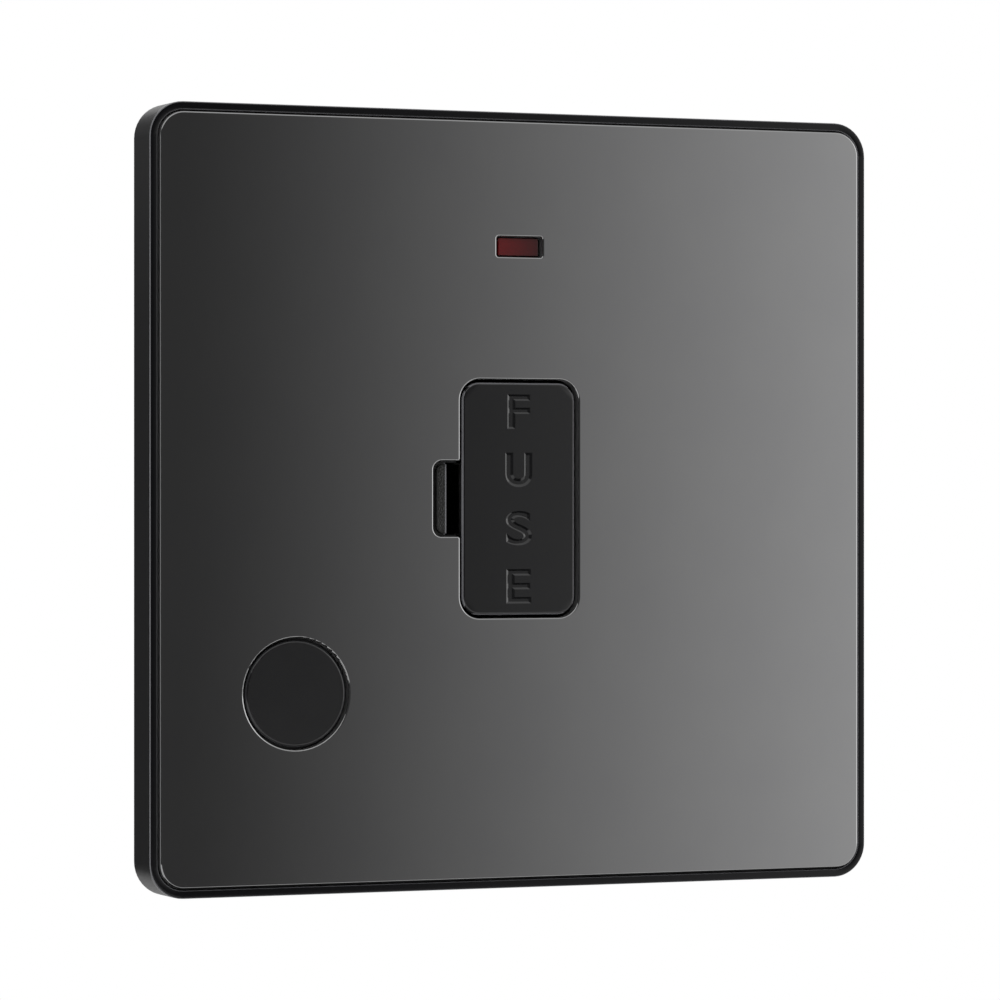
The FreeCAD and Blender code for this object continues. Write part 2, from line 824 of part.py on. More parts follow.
def contact_slots():
    """Slots for the contact strips and the neutral link, open to the front."""
    cuts = []
    half = contact_width / 2 + pocket_gap
    for side in (-1, 1):
        z = window_z + side * contact_offset
        right = terminal_x + pocket_gap
        cuts.append(box(0, right, panel_back, strip_back, z - half, z + half))
        left = terminal_x - terminal_size / 2 - pocket_gap
        z0, z1 = sorted((z, side * terminal_upper_z))
        cuts.append(box(left, right, panel_back, strip_back, z0, z1))
    half = terminal_size / 2 + pocket_gap
    cuts.append(box(-terminal_x - half, -terminal_x + half, panel_back, strip_back,
                    terminal_neutral_z, terminal_upper_z))
    tab_top = terminal_upper_z + terminal_size / 2 + pocket_gap
    tab_low = tab_top - lead_reach
    cuts.append(box(-terminal_x, -lead_x + lead_diameter + pocket_gap, panel_back, strip_back,
                    tab_low, tab_top))
    return cuts


def lamp_cuts():
    """The lamp's chamber and the channels for its leads and its resistor."""
    radius = lamp_diameter / 2 + lamp_gap
    back = lead_y + lamp_diameter / 2 + thread_gap
    end = lamp_length / 2 + lamp_gap
    cuts = [box(-end, end, panel_back, back, lens_z - radius, lens_z + radius)]
    wide = lead_diameter / 2 + lamp_gap
    reach = lead_x + wide
    lead_back = strip_front
    cuts.append(box(-reach, reach, panel_back, lead_back, lens_z - wide, lens_z + wide))
    for x in (-lead_x, lead_x):
        cuts.append(box(x - wide, x + wide, panel_back, lead_back, terminal_upper_z, lens_z))
    cuts.append(box(lead_x - wide, lead_x + wide, panel_back, lead_back,
                    window_z + contact_offset, terminal_upper_z))
    radius = resistor_diameter / 2 + pocket_gap
    top, bottom = resistor_span()
    cuts.append(box(lead_x - radius, lead_x + radius, panel_back, lead_y + radius,
                    bottom - pocket_gap, top + pocket_gap))
    return cuts


def base_moulding():
    """Rear moulding that holds the terminals, the contacts and the lamp."""
    cuts = drawer_well() + terminal_pockets() + contact_slots() + lamp_cuts() + cored_pockets()
    for x, z in joiner_places():
        cuts.append(joiner(x, z, thread_gap))
    for side in (-1, 1):
        z = grip_z + side * grip_spacing / 2
        cuts.append(rod(grip_screw_diameter + 2 * thread_gap, grip_top - grip_screw_length,
                        grip_top, grip_x, z))
    block = base_block()
    return block.cut(Part.makeCompound(cuts)).removeSplitter()


def terminal_block(x, z):
    """Brass block with a bore for the wire along X and a tapped hole for its screw."""
    half = terminal_size / 2
    block = box(x - half, x + half, strip_back, terminal_back, z - half, z + half)
    block = block.cut(rod_x(wire_bore, x - half, x + half, wire_y, z))
    return block.cut(rod(screw_diameter + 2 * thread_gap, wire_y, terminal_back, x, z))


def earth_half_width():
    return earth_pitch / 2 + terminal_size / 2


def earth_terminal():
    """One brass block with two wire bores, for both earth conductors."""
    half = terminal_size / 2
    wide = earth_half_width()
    block = box(earth_x - wide, earth_x + wide, strip_back, terminal_back,
                earth_z - half, earth_z + half)
    for x, z in earth_screw_places():
        block = block.cut(rod_z(wire_bore, z - half, z + half, x, wire_y))
        block = block.cut(rod(screw_diameter + 2 * thread_gap, wire_y, terminal_back, x, z))
    return block


def terminal_screw(x, z):
    seat = terminal_back + screw_seat_gap
    tip = wire_y + wire_bore / 2
    screw = joined([rod(screw_diameter, tip, seat, x, z),
                    rod(screw_head_diameter, seat, seat + screw_head_height, x, z)])
    top = seat + screw_head_height
    half = screw_slot_width / 2
    slot = box(x - screw_head_diameter, x + screw_head_diameter, top - screw_slot_depth, top,
               z - half, z + half)
    return screw.cut(slot)


def terminal_screws():
    places = list(terminal_places().values()) + earth_screw_places()
    return Part.makeCompound([terminal_screw(x, z) for x, z in places])


def live_contact(side):
    """Spring jaws round one fuse cap, in one piece with the strip to its terminal."""
    z = window_z + side * contact_offset
    z0 = z - contact_width / 2
    z1 = z + contact_width / 2
    pinch = fuse_cap_diameter / 2 + contact_pinch_gap + contact_thickness / 2
    root = pinch + contact_flare
    centre_y = strip_front + strip_thickness / 2
    bar = box(-root - contact_thickness, terminal_x - terminal_size / 2, strip_front, strip_back,
              z0, z1)
    parts = [bar]
    for hand in (-1, 1):
        points = [(hand * root, centre_y), (hand * root, fuse_y + fuse_cap_diameter / 2),
                  (hand * pinch, fuse_y), (hand * (pinch + contact_flare / 2), fuse_y - contact_tip)]
        parts.append(strip(points, contact_thickness, z0, z1))
    half = terminal_size / 2
    pad_z = side * terminal_upper_z
    parts.append(box(terminal_x - half, terminal_x + half, strip_front, strip_back,
                     pad_z - half, pad_z + half))
    inner_z, outer_z = sorted((pad_z, z - side * contact_width / 2))
    parts.append(box(terminal_x - half, terminal_x, strip_front, strip_back, inner_z, outer_z))
    return joined(parts)


def neutral_link():
    """Brass link under both neutral terminals, with a tab for the lamp's lead."""
    half = terminal_size / 2
    top = terminal_upper_z + half
    bar = box(-terminal_x - half, -terminal_x + half, strip_front, strip_back,
              terminal_neutral_z - half, top)
    tab = box(-terminal_x, -lead_x + lead_diameter, strip_front, strip_back,
              top - lead_reach + 2 * pocket_gap, top)
    return joined([bar, tab])


def indicator_lens():
    """Light guide: the red window in front and a flange behind the panel."""
    half_x = lens_window_width / 2 - lens_side_gap
    half_z = lens_window_height / 2 - lens_gap
    front = face_y + lens_recess
    back = lead_y - lamp_diameter / 2 - lamp_gap
    guide = prism(centred(0, lens_z, half_x, half_z, lens_window_radius - lens_gap), front, back)
    guide = guide.makeFillet(lens_gap / 2, edges_at(guide, front))
    flange = prism(centred(0, lens_z, half_x + lens_flange_border, half_z + lens_flange_border),
                   panel_back, panel_back + lens_flange)
    return joined([guide, flange])


def neon_lamp():
    """Small glass lamp lying behind the light guide."""
    half = lamp_length / 2
    lamp = rod_x(lamp_diameter, -half, half, lead_y, lens_z)
    ends = [edge for edge in lamp.Edges if abs(abs(edge.CenterOfMass.x) - half) < same_place]
    return lamp.makeFillet(lamp_diameter / 4, ends)


def resistor_span():
    """Top and bottom of the lamp's resistor."""
    top = lens_z - lead_bend - lead_reach / 2
    return top, top - resistor_length


def bent_lead(side, bottom):
    """A wire from the lamp's end, round a bend and down to the given height."""
    start = Vector(side * lamp_length / 2, lead_y, lens_z)
    corner = Vector(side * lead_x, lead_y, lens_z)
    enter = Vector(side * (lead_x - lead_bend), lead_y, lens_z)
    leave = Vector(side * lead_x, lead_y, lens_z - lead_bend)
    centre = Vector(enter.x, lead_y, leave.z)
    outward = corner - centre
    outward.normalize()
    middle = centre + outward * lead_bend
    end = Vector(side * lead_x, lead_y, bottom)
    path = Part.Wire([Part.LineSegment(start, enter).toShape(), Part.Arc(enter, middle, leave).toShape(),
                      Part.LineSegment(leave, end).toShape()])
    ring = Part.Circle(start, Vector(side, 0, 0), lead_diameter / 2).toShape()
    return path.makePipeShell([Part.Wire([ring])], True, True)


def lamp_leads():
    """Three wires: lamp to neutral, lamp to resistor, and resistor to the live contact."""
    top, bottom = resistor_span()
    tab = terminal_upper_z + terminal_size / 2 - lead_reach / 2
    live_top = window_z + contact_offset + contact_width / 2
    leads = [
        bent_lead(-1, tab),
        bent_lead(1, top),
        rod_z(lead_diameter, live_top - lead_reach / 2, bottom, lead_x, lead_y),
    ]
    return Part.makeCompound(leads)


def ballast_resistor():
    """Resistor body with swollen ends."""
    top, bottom = resistor_span()
    swell = resistor_diameter / 2
    body = rod_z(resistor_waist, bottom, top, lead_x, lead_y)
    ends = [body]
    for z0 in (bottom, top - swell):
        bead = rod_z(resistor_diameter, z0, z0 + swell, lead_x, lead_y)
        ends.append(bead.makeFillet(swell / 4, [edge for edge in bead.Edges
                                                if len(edge.Vertexes) == 1]))
    return joined(ends)


def joiner(x, z, grow=0.0):
    """Countersunk screw, or its hole when it is grown by a clearance."""
    core = joiner_diameter / 2 + grow
    head = joiner_head / 2 + grow
    top = panel_front + joiner_sink
    end = top + joiner_length + grow
    profile = [Vector(0, top, 0), Vector(head, top, 0), Vector(core, top + joiner_cone, 0),
               Vector(core, end, 0), Vector(0, end, 0)]
    profile.append(profile[0])
    solid = Part.Face(Part.makePolygon(profile)).revolve(Vector(0, 0, 0), Vector(0, 1, 0), 360)
    solid.translate(Vector(x, 0, z))
    return solid


def assembly_screws():
    screws = []
    for x, z in joiner_places():
        screw = joiner(x, z)
        half = screw_slot_width / 2
        reach = joiner_head / 3
        top = panel_front + joiner_sink
        depth = top + screw_slot_depth
        screw = screw.cut(box(x - reach, x + reach, top, depth, z - half, z + half))
        screws.append(screw.cut(box(x - half, x + half, top, depth, z - reach, z + reach)))
    return Part.makeCompound(screws)


def flex_outlet_plug():
    """Blanking plug with a split skirt that snaps into the flex outlet."""
    face = outlet_diameter / 2 - outlet_gap
    outer = outlet_bore / 2 - thread_gap
    inner = outer - plug_skirt
    front = face_y + face_recess
    back = -rib_setback
    profile = [Vector(0, front, 0), Vector(face, front, 0), Vector(face, panel_front, 0),
               Vector(outer, panel_front, 0), Vector(outer, back, 0), Vector(outer + plug_bead, back, 0),
               Vector(outer, back + plug_skirt, 0), Vector(inner, back + plug_skirt, 0),
               Vector(inner, panel_front, 0), Vector(0, panel_front, 0)]
    profile.append(profile[0])
    plug = Part.Face(Part.makePolygon(profile)).revolve(Vector(0, 0, 0), Vector(0, 1, 0), 360)
    plug = plug.makeFillet(plug_edge_round, edges_at(plug, front))
    half = plug_skirt / 2
    slots = [box(-face, face, panel_back, back + plug_skirt, -half, half),
             box(-half, half, panel_back, back + plug_skirt, -face, face)]
    plug = plug.cut(Part.makeCompound(slots))
    plug.translate(Vector(outlet_x, 0, outlet_z))
    return plug


def cord_grip_bar():
    """Bar with a rounded saddle that clamps the flex against its platform."""
    half = (grip_spacing + grip_pillar) / 2
    back = grip_top + grip_bar_thickness
    bar = prism(centred(grip_x, grip_z, grip_bar_width / 2, half, grip_bar_width / 4), grip_top, back)
    for side in (-1, 1):
        z = grip_z + side * grip_spacing / 2
        bar = bar.cut(rod(grip_screw_diameter + 2 * thread_gap, grip_top, back, grip_x, z))
    saddle = grip_spacing - grip_pillar
    rise = grip_bar_thickness / 3
    radius = (saddle ** 2 / 4 + rise ** 2) / (2 * rise)
    hollow = rod_x(2 * radius, grip_x - grip_bar_width, grip_x + grip_bar_width,
                   grip_top + rise - radius, grip_z)
    return bar.cut(hollow)


def cord_grip_screws():
    screws = []
    seat = grip_top + grip_bar_thickness
    for side in (-1, 1):
        z = grip_z + side * grip_spacing / 2
        shank = rod(grip_screw_diameter, grip_top - grip_screw_length, seat, grip_x, z)
        head = rod(grip_head_diameter, seat, seat + grip_head_height, grip_x, z)
        screw = joined([shank, head])
        top = seat + grip_head_height
        half = screw_slot_width / 2
        slot = box(grip_x - grip_head_diameter, grip_x + grip_head_diameter,
                   top - screw_slot_depth, top, z - half, z + half)
        screws.append(screw.cut(slot))
    return Part.makeCompound(screws)


def all_pieces():
    pieces = {
        "mounting_frame": mounting_frame(),
        "base_moulding": base_moulding(),
        "mounting_strap": mounting_strap(),
        "earth_spring": earth_spring(),
        "supply_live_contact": live_contact(-1),
        "load_live_contact": live_contact(1),
        "neutral_link": neutral_link(),
        "earth_terminal": earth_terminal(),
        "terminal_screws": terminal_screws(),
        "assembly_screws": assembly_screws(),
        "indicator_lens": indicator_lens(),
        "neon_lamp": neon_lamp(),
        "lamp_leads": lamp_leads(),
        "ballast_resistor": ballast_resistor(),
        "flex_outlet_plug": flex_outlet_plug(),
        "cord_grip_bar": cord_grip_bar(),
        "cord_grip_screws": cord_grip_screws(),
        "fuse_carrier": fuse_carrier(),
        "fuse_tube": fuse_tube(),
        "fuse_cap_upper": fuse_cap(1),
        "fuse_cap_lower": fuse_cap(-1),
        "front_plate": front_plate(),
        "plate_clips": plate_clips(),
    }
    for name, (x, z) in terminal_places().items():
        pieces[name] = terminal_block(x, z)
    return pieces


os.makedirs("parts", exist_ok=True)
for name, shape in all_pieces().items():
    shape.exportStep("parts/" + name + ".step")
    print(name, "solids", len(shape.Solids), "valid", shape.isValid(), "volume", round(shape.Volume, 1))
print("drawer travel", round(carrier_travel, 2))
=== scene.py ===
# %% [markdown]
# A fused connection unit: the switchless wall plate that feeds one fixed appliance through its
# own cartridge fuse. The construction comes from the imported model, at its real size, and stays
# as it is. This script gives it its finishes, adds the details that are too fine for the
# construction, and photographs it on white, from a little to its left.

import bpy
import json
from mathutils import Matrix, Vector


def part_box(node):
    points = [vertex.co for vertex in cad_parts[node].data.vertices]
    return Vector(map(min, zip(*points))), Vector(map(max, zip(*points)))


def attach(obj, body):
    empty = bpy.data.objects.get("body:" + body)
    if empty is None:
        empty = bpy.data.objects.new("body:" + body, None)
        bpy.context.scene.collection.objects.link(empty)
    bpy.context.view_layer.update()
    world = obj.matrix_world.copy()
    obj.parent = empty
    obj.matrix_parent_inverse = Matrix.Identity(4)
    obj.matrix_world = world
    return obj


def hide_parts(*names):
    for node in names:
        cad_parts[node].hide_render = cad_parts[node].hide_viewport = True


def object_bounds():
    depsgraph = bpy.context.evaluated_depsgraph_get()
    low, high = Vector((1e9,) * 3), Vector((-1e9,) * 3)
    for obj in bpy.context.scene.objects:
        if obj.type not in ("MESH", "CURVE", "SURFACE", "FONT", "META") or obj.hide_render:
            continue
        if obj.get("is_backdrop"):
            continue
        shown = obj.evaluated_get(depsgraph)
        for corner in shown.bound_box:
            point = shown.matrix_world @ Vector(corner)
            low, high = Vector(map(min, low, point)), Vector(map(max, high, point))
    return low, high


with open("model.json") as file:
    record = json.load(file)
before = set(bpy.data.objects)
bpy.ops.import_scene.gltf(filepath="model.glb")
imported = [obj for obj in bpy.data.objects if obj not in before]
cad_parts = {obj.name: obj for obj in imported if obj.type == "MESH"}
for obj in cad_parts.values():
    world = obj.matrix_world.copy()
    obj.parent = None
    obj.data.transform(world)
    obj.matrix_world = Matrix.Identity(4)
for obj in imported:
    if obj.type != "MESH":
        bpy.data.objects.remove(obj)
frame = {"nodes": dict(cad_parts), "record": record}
construction_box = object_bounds()
print("pieces in the construction:", len(frame["nodes"]))

# %% [markdown]
# Everything is in metres, but a wiring accessory is thought of in millimetres. One name turns
# the one into the other. Colours are written as they are picked on a screen, in sRGB, and one
# function turns them into the linear values that light is calculated with.

# %% Units and colours
import json
import math

import bpy
from mathutils import Vector

MM = 0.001
PER_MM = 1000.0


def colour(code):
    """An sRGB hex code as linear red, green, blue and alpha."""
    channels = [int(code[i:i + 2], 16) / 255 for i in (1, 3, 5)]
    linear = [c / 12.92 if c <= 0.04045 else ((c + 0.055) / 1.055) ** 2.4 for c in channels]
    return (*linear, 1.0)


print("mid grey is", round(colour("#808080")[0], 3), "in linear light")

# %% [markdown]
# The camera stands as far from the unit as the perspective in the photograph asks for: the left
# edge of the plate is only a little taller than the right one, so the lens is long. It looks
# level, and the wall plate is seen from 22.7 degrees to its left. The four numbers come from a
# fit of a square of 95 mm to the plate's corners.

# %% Camera
view_turn = math.radians(22.68)
view_distance = 587.94 * MM
view_aside = -0.04 * MM
focal_length_mm = 171.10
sensor_mm = 36.0

forward = Vector((math.sin(view_turn), math.cos(view_turn), 0.0))
sideways = Vector((math.cos(view_turn), -math.sin(view_turn), 0.0))
camera_data = bpy.data.cameras.new("studio_camera")
camera_data.lens = focal_length_mm
camera_data.sensor_width = sensor_mm
camera_data.clip_start = 0.01
camera = bpy.data.objects.new("studio_camera", camera_data)
camera.location = -forward * view_distance - sideways * view_aside
camera.rotation_euler = (math.radians(90), 0.0, -view_turn)
bpy.context.scene.collection.objects.link(camera)
bpy.context.scene.camera = camera
bpy.context.scene.view_settings.view_transform = "Standard"
print("camera at", [round(v, 4) for v in camera.location])

# %% [markdown]
# A material is a small graph of nodes. One function adds a node, sets its settings and fills its
# inputs, with a plain value or with the output of another node. A second one makes the few nodes
# that every material here has: the surface shader, the output and the object's own coordinates,
# in metres, which stay with the piece when it moves.

# %% Material helpers


def add_node(tree, kind, inputs=None, **settings):
    """Adds one node. Inputs are values, or sockets of other nodes to link."""
    node = tree.nodes.new(kind)
    for name, value in settings.items():
        setattr(node, name, value)
    for name, value in (inputs or {}).items():
        if isinstance(value, bpy.types.NodeSocket):
            tree.links.new(value, node.inputs[name])
        else:
            node.inputs[name].default_value = value
    return node


def new_material(name, values):
    """A material with its surface shader, and the object coordinates for its patterns."""
    material = bpy.data.materials.new(name)
    material.use_nodes = True
    tree = material.node_tree
    tree.nodes.clear()
    shader = add_node(tree, "ShaderNodeBsdfPrincipled", values)
    add_node(tree, "ShaderNodeOutputMaterial", {"Surface": shader.outputs[0]})
    place = add_node(tree, "ShaderNodeTexCoord").outputs["Object"]
    return material, tree, shader, place


def spread(tree, value, low, high):
    """A value from 0 to 1 brought to a range from low to high."""
    ends = {"Value": value, "To Min": low, "To Max": high}
    return add_node(tree, "ShaderNodeMapRange", ends).outputs[0]


def speckle(tree, place, size_mm, stretch=(1, 1, 1), detail=2.0):
    """Soft noise whose grains have a size in millimetres, drawn out along the axes."""
    scale = [PER_MM / (size_mm * s) for s in stretch]
    mapped = add_node(tree, "ShaderNodeMapping", {"Vector": place, "Scale": scale})
    noise = {"Vector": mapped.outputs[0], "Scale": 1.0, "Detail": detail}
    return add_node(tree, "ShaderNodeTexNoise", noise).outputs["Fac"]


def tint(tree, value, dark, light):
    """A colour between two, by a value from 0 to 1."""
    mix = add_node(tree, "ShaderNodeMix", data_type="RGBA")
    for name, setting in (("Factor_Float", value), ("A_Color", dark), ("B_Color", light)):
        socket = [s for s in mix.inputs if s.identifier == name][0]
        if isinstance(setting, bpy.types.NodeSocket):
            tree.links.new(setting, socket)
        else:
            socket.default_value = setting
    return [s for s in mix.outputs if s.identifier == "Result_Color"][0]


def relief(tree, shader, height, depth_mm):
    """Fine relief: the shader sees the surface as if it went up and down by this depth."""
    bump = add_node(tree, "ShaderNodeBump", {"Height": height, "Distance": depth_mm * MM})
    tree.links.new(bump.outputs[0], shader.inputs["Normal"])


def inside_band(tree, value, middle, half):
    """1 where a value lies within a distance of a middle, and 0 elsewhere."""
    band = {0: value, 1: middle, 2: half}
    return add_node(tree, "ShaderNodeMath", band, operation="COMPARE").outputs[0]


def product(tree, one, other):
    """Two values multiplied: of two marks that are 0 or 1, what both of them mark."""
    return add_node(tree, "ShaderNodeMath", {0: one, 1: other}, operation="MULTIPLY").outputs[0]


def facing_back(tree):
    """How far the surface faces to the back: -1 straight to the front, 0 sideways."""
    facing = add_node(tree, "ShaderNodeTexCoord").outputs["Normal"]
    return add_node(tree, "ShaderNodeSeparateXYZ", {"Vector": facing}).outputs["Y"]


def rounded_edges(tree):
    """1 where the surface faces neither straight to the front nor sideways, and 0 elsewhere."""
    return inside_band(tree, facing_back(tree), -0.5, 0.38)


materials = {}
print("helpers ready")

# %% [markdown]
# The front plate is steel, plated with black nickel and polished like a mirror. Its colour is
# that of the dark plating, and what the eye sees is mostly the room in it. Two things keep it
# from looking computed: a polish that is a little uneven in its gloss, and a very low waviness
# of the sheet, a millimetre or two long. The back was never polished, so it is duller. Dullest
# are the walls of the windows, as the press tool sheared them: they are known by their surface
# facing sideways, not to the front.

# %% Polished black nickel plating
plate_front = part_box("front_plate")[0].y
polished_depth = 0.3 * MM
back_dullness = 0.22
sheared_dullness = 0.5


def polished_black_nickel():
    material, tree, shader, place = new_material("polished_black_nickel_plating", {"Metallic": 1.0})
    haze = speckle(tree, place, 9.0)
    plating = tint(tree, haze, colour("#929293"), colour("#979797"))
    tree.links.new(plating, shader.inputs["Base Color"])
    depth = add_node(tree, "ShaderNodeSeparateXYZ", {"Vector": place}).outputs["Y"]
    behind = add_node(tree, "ShaderNodeMapRange", {
        "Value": depth, "From Min": plate_front + polished_depth,
        "From Max": plate_front + 2 * polished_depth, "To Max": back_dullness}).outputs[0]
    sheared = add_node(tree, "ShaderNodeMapRange", {
        "Value": facing_back(tree), "From Min": -0.3, "From Max": -0.05,
        "To Max": sheared_dullness}).outputs[0]
    polish = spread(tree, speckle(tree, place, 0.7, (1, 1, 4)), 0.025, 0.055)
    rough = add_node(tree, "ShaderNodeMath", {0: polish, 1: behind}, operation="ADD")
    rough = add_node(tree, "ShaderNodeMath", {0: rough.outputs[0], 1: sheared}, operation="ADD")
    tree.links.new(rough.outputs[0], shader.inputs["Roughness"])
    relief(tree, shader, speckle(tree, place, 1.8, (1, 1, 2), 1.0), 0.0006)
    return material


materials["black_nickel"] = polished_black_nickel()
print("plate front at", round(plate_front / MM, 2), "mm")

# %% [markdown]
# The surround is black ABS from a polished mould: a rim that shines round the plate, and outer
# walls that come out of a finely matted part of the mould so that they leave it without
# scratches. The pad in the pry notch has a coarse, spark-eroded grain for the finger or the
# blade, which scatters more light and looks greyer. The three are told apart by their place, as
# the mould's own inserts would be. The two fine bright lines along the rim's edges are a painted
# highlight: the rim's rounded edges get a lighter colour, which shines whatever the light.
# The pad's right edge has such a painted highlight line too.

# %% Moulded black ABS of the surround
frame_low, frame_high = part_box("mounting_frame")
pad_left, pad_right = -10.6, -9.35
pad_half_height = 4.2
pad_middle = 0.15
pad_paint_half_width, pad_paint_half_height = 0.8, 4.4
pad_highlight_width = 0.2
gloss_depth, matt_depth = 0.25, 0.6
rim_edge_depth = 0.3
# A lighter colour painted on rounded edges as a highlight. It stands for light, not for the
# plastic's own colour.
painted_edge_highlight = colour("#606063")


def moulded_surround_abs():
    values = {"IOR": 1.53, "Specular IOR Level": 0.25}
    material, tree, shader, place = new_material("moulded_black_abs_surround", values)
    axes = add_node(tree, "ShaderNodeSeparateXYZ", {"Vector": place}).outputs
    matt = add_node(tree, "ShaderNodeMapRange", {
        "Value": axes["Y"], "From Min": frame_low.y + gloss_depth * MM,
        "From Max": frame_low.y + matt_depth * MM}).outputs[0]
    gloss = spread(tree, speckle(tree, place, 0.5), 0.10, 0.16)
    satin = spread(tree, speckle(tree, place, 0.12), 0.30, 0.42)
    rough = add_node(tree, "ShaderNodeMix", {"Factor": matt, "A": gloss, "B": satin})
    tree.links.new(rough.outputs[0], shader.inputs["Roughness"])
    pad_centre = (pad_left + pad_right) / 2
    across = inside_band(tree, axes["X"], pad_centre * MM, pad_paint_half_width * MM)
    upward = inside_band(tree, axes["Z"], pad_middle * MM, pad_paint_half_height * MM)
    on_pad = product(tree, across, upward)
    black = tint(tree, on_pad, colour("#08080a"), colour("#1c1c1b"))
    # Painted highlight: the rim's rounded front edges and a narrow band at the pad's right edge get
    # the lighter colour.
    on_rim = add_node(tree, "ShaderNodeMath", {
        0: axes["Y"], 1: frame_low.y + rim_edge_depth * MM}, operation="LESS_THAN").outputs[0]
    rim_highlight_mask = product(tree, rounded_edges(tree), on_rim)
    at_pad_edge = inside_band(tree, axes["X"], pad_right * MM, pad_highlight_width * MM)
    pad_highlight_mask = product(tree, at_pad_edge, on_pad)
    painted_highlight_mask = add_node(tree, "ShaderNodeMath", {0: rim_highlight_mask, 1: pad_highlight_mask}, operation="MAXIMUM")
    plastic = tint(tree, painted_highlight_mask.outputs[0], black, painted_edge_highlight)
    tree.links.new(plastic, shader.inputs["Base Color"])
    fine = speckle(tree, place, 0.16, (1, 1, 1), 3.0)
    relief(tree, shader, product(tree, fine, matt), 0.006)
    return material


materials["surround_plastic"] = moulded_surround_abs()
print("surround from", round(frame_low.y / MM, 2), "to", round(frame_high.y / MM, 2), "mm deep")

# %% [markdown]
# The fuse drawer and the blanking plug are the same black plastic with a satin face. The mould
# was blasted with fine glass beads, which leaves tiny even dimples, about a tenth of a millimetre
# across. They spread the highlight, so the face looks dark grey instead of black. The rounded
# edges and the walls of the engraving were polished afterwards, because a part sticks to a rough
# slope. They are told apart by the way the surface faces. The drawer's outer rounded edges carry
# the same painted highlight as the rim's, a lighter colour, and the plug's carry a fainter one.
# The plug comes from an older, duller mould than the drawer, so what lies to the left of the
# drawer is a little rougher.

# %% Bead-blasted black ABS of the drawer and the plug
plug_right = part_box("flex_outlet_plug")[1].x
plug_highlight_share = 0.15
plug_dullness = 0.08
face_half_width = 7.1
face_half_height = 13.8


def bead_blasted_abs():
    material, tree, shader, place = new_material("bead_blasted_black_abs", {"IOR": 1.53})
    axes = add_node(tree, "ShaderNodeSeparateXYZ", {"Vector": place}).outputs
    across = inside_band(tree, axes["X"], 0.0, face_half_width * MM)
    upward = inside_band(tree, axes["Z"], 0.0, face_half_height * MM)
    # Painted highlight: the drawer's outer rounded edges get the lighter colour, and the plug's a
    # fainter share of it.
    edge_highlight_share = add_node(tree, "ShaderNodeMapRange", {
        "Value": axes["X"], "From Min": plug_right, "From Max": plug_right + 1.0 * MM,
        "To Min": plug_highlight_share, "To Max": 1.0}).outputs[0]
    outside_face = add_node(tree, "ShaderNodeMath", {
        0: edge_highlight_share, 1: product(tree, across, upward)}, operation="SUBTRACT").outputs[0]
    painted_highlight_mask = product(tree, outside_face, rounded_edges(tree))
    plastic = tint(tree, painted_highlight_mask, colour("#0f0f10"), painted_edge_highlight)
    tree.links.new(plastic, shader.inputs["Base Color"])
    duller = add_node(tree, "ShaderNodeMapRange", {
        "Value": axes["X"], "From Min": plug_right - 1.0 * MM, "From Max": plug_right + 1.0 * MM,
        "To Min": plug_dullness, "To Max": 0.0}).outputs[0]
    sloping = add_node(tree, "ShaderNodeMapRange", {
        "Value": facing_back(tree), "From Min": -0.995, "From Max": -0.95}).outputs[0]
    dimples = speckle(tree, place, 0.11, (1, 1, 1), 3.0)
    cloud = speckle(tree, place, 3.5)
    blasted = spread(tree, product(tree, dimples, cloud), 0.11, 0.16)
    blasted = add_node(tree, "ShaderNodeMath", {0: blasted, 1: duller}, operation="ADD").outputs[0]
    polished = spread(tree, cloud, 0.09, 0.14)
    rough = add_node(tree, "ShaderNodeMix", {"Factor": sloping, "A": blasted, "B": polished})
    tree.links.new(rough.outputs[0], shader.inputs["Roughness"])
    relief(tree, shader, dimples, 0.001)
    return material


materials["fitting_plastic"] = bead_blasted_abs()

# %% [markdown]
# The rear moulding is a heat-resistant thermoset: denser, greyer and matt, with the faint cloudy
# flow that a filled resin shows where it ran together in the mould.

# %% Compression-moulded black thermoset


def moulded_thermoset():
    material, tree, shader, place = new_material("compression_moulded_thermoset", {"IOR": 1.6})
    flow = speckle(tree, place, 6.0, (1, 1, 2.5), 4.0)
    resin = tint(tree, flow, colour("#1b1b1c"), colour("#2b2b2c"))
    tree.links.new(resin, shader.inputs["Base Color"])
    filler = speckle(tree, place, 0.18, (1, 1, 1), 3.0)
    tree.links.new(spread(tree, filler, 0.42, 0.62), shader.inputs["Roughness"])
    relief(tree, shader, filler, 0.01)
    return material


materials["base_plastic"] = moulded_thermoset()
print("thermoset ready")

# %% [markdown]
# The metals inside differ in colour and in how they were worked. Zinc-plated steel is pale and
# a little blue and yellow where its film changes thickness, spring steel is grey with the long
# lines of rolling, phosphor bronze is pinkish, and brass is yellow with the drawn lines of an
# extruded bar. One function serves all of them: two colours, a direction of working, and how
# rough the finish is.

# %% Plated, rolled, drawn and turned metals
line_stretch = 14.0


def worked_metal(name, dark, light, rough, line_mm, along, depth_mm):
    """A metal with lines drawn out along one axis by rolling, drawing or turning."""
    material, tree, shader, place = new_material(name, {"Metallic": 1.0})
    stretch = [line_stretch if axis == along else 1.0 for axis in "xyz"]
    lines = speckle(tree, place, line_mm, stretch, 3.0)
    film = speckle(tree, place, 4.0, (1, 1, 1), 3.0)
    tree.links.new(tint(tree, film, colour(dark), colour(light)), shader.inputs["Base Color"])
    tree.links.new(spread(tree, lines, *rough), shader.inputs["Roughness"])
    relief(tree, shader, lines, depth_mm)
    return material


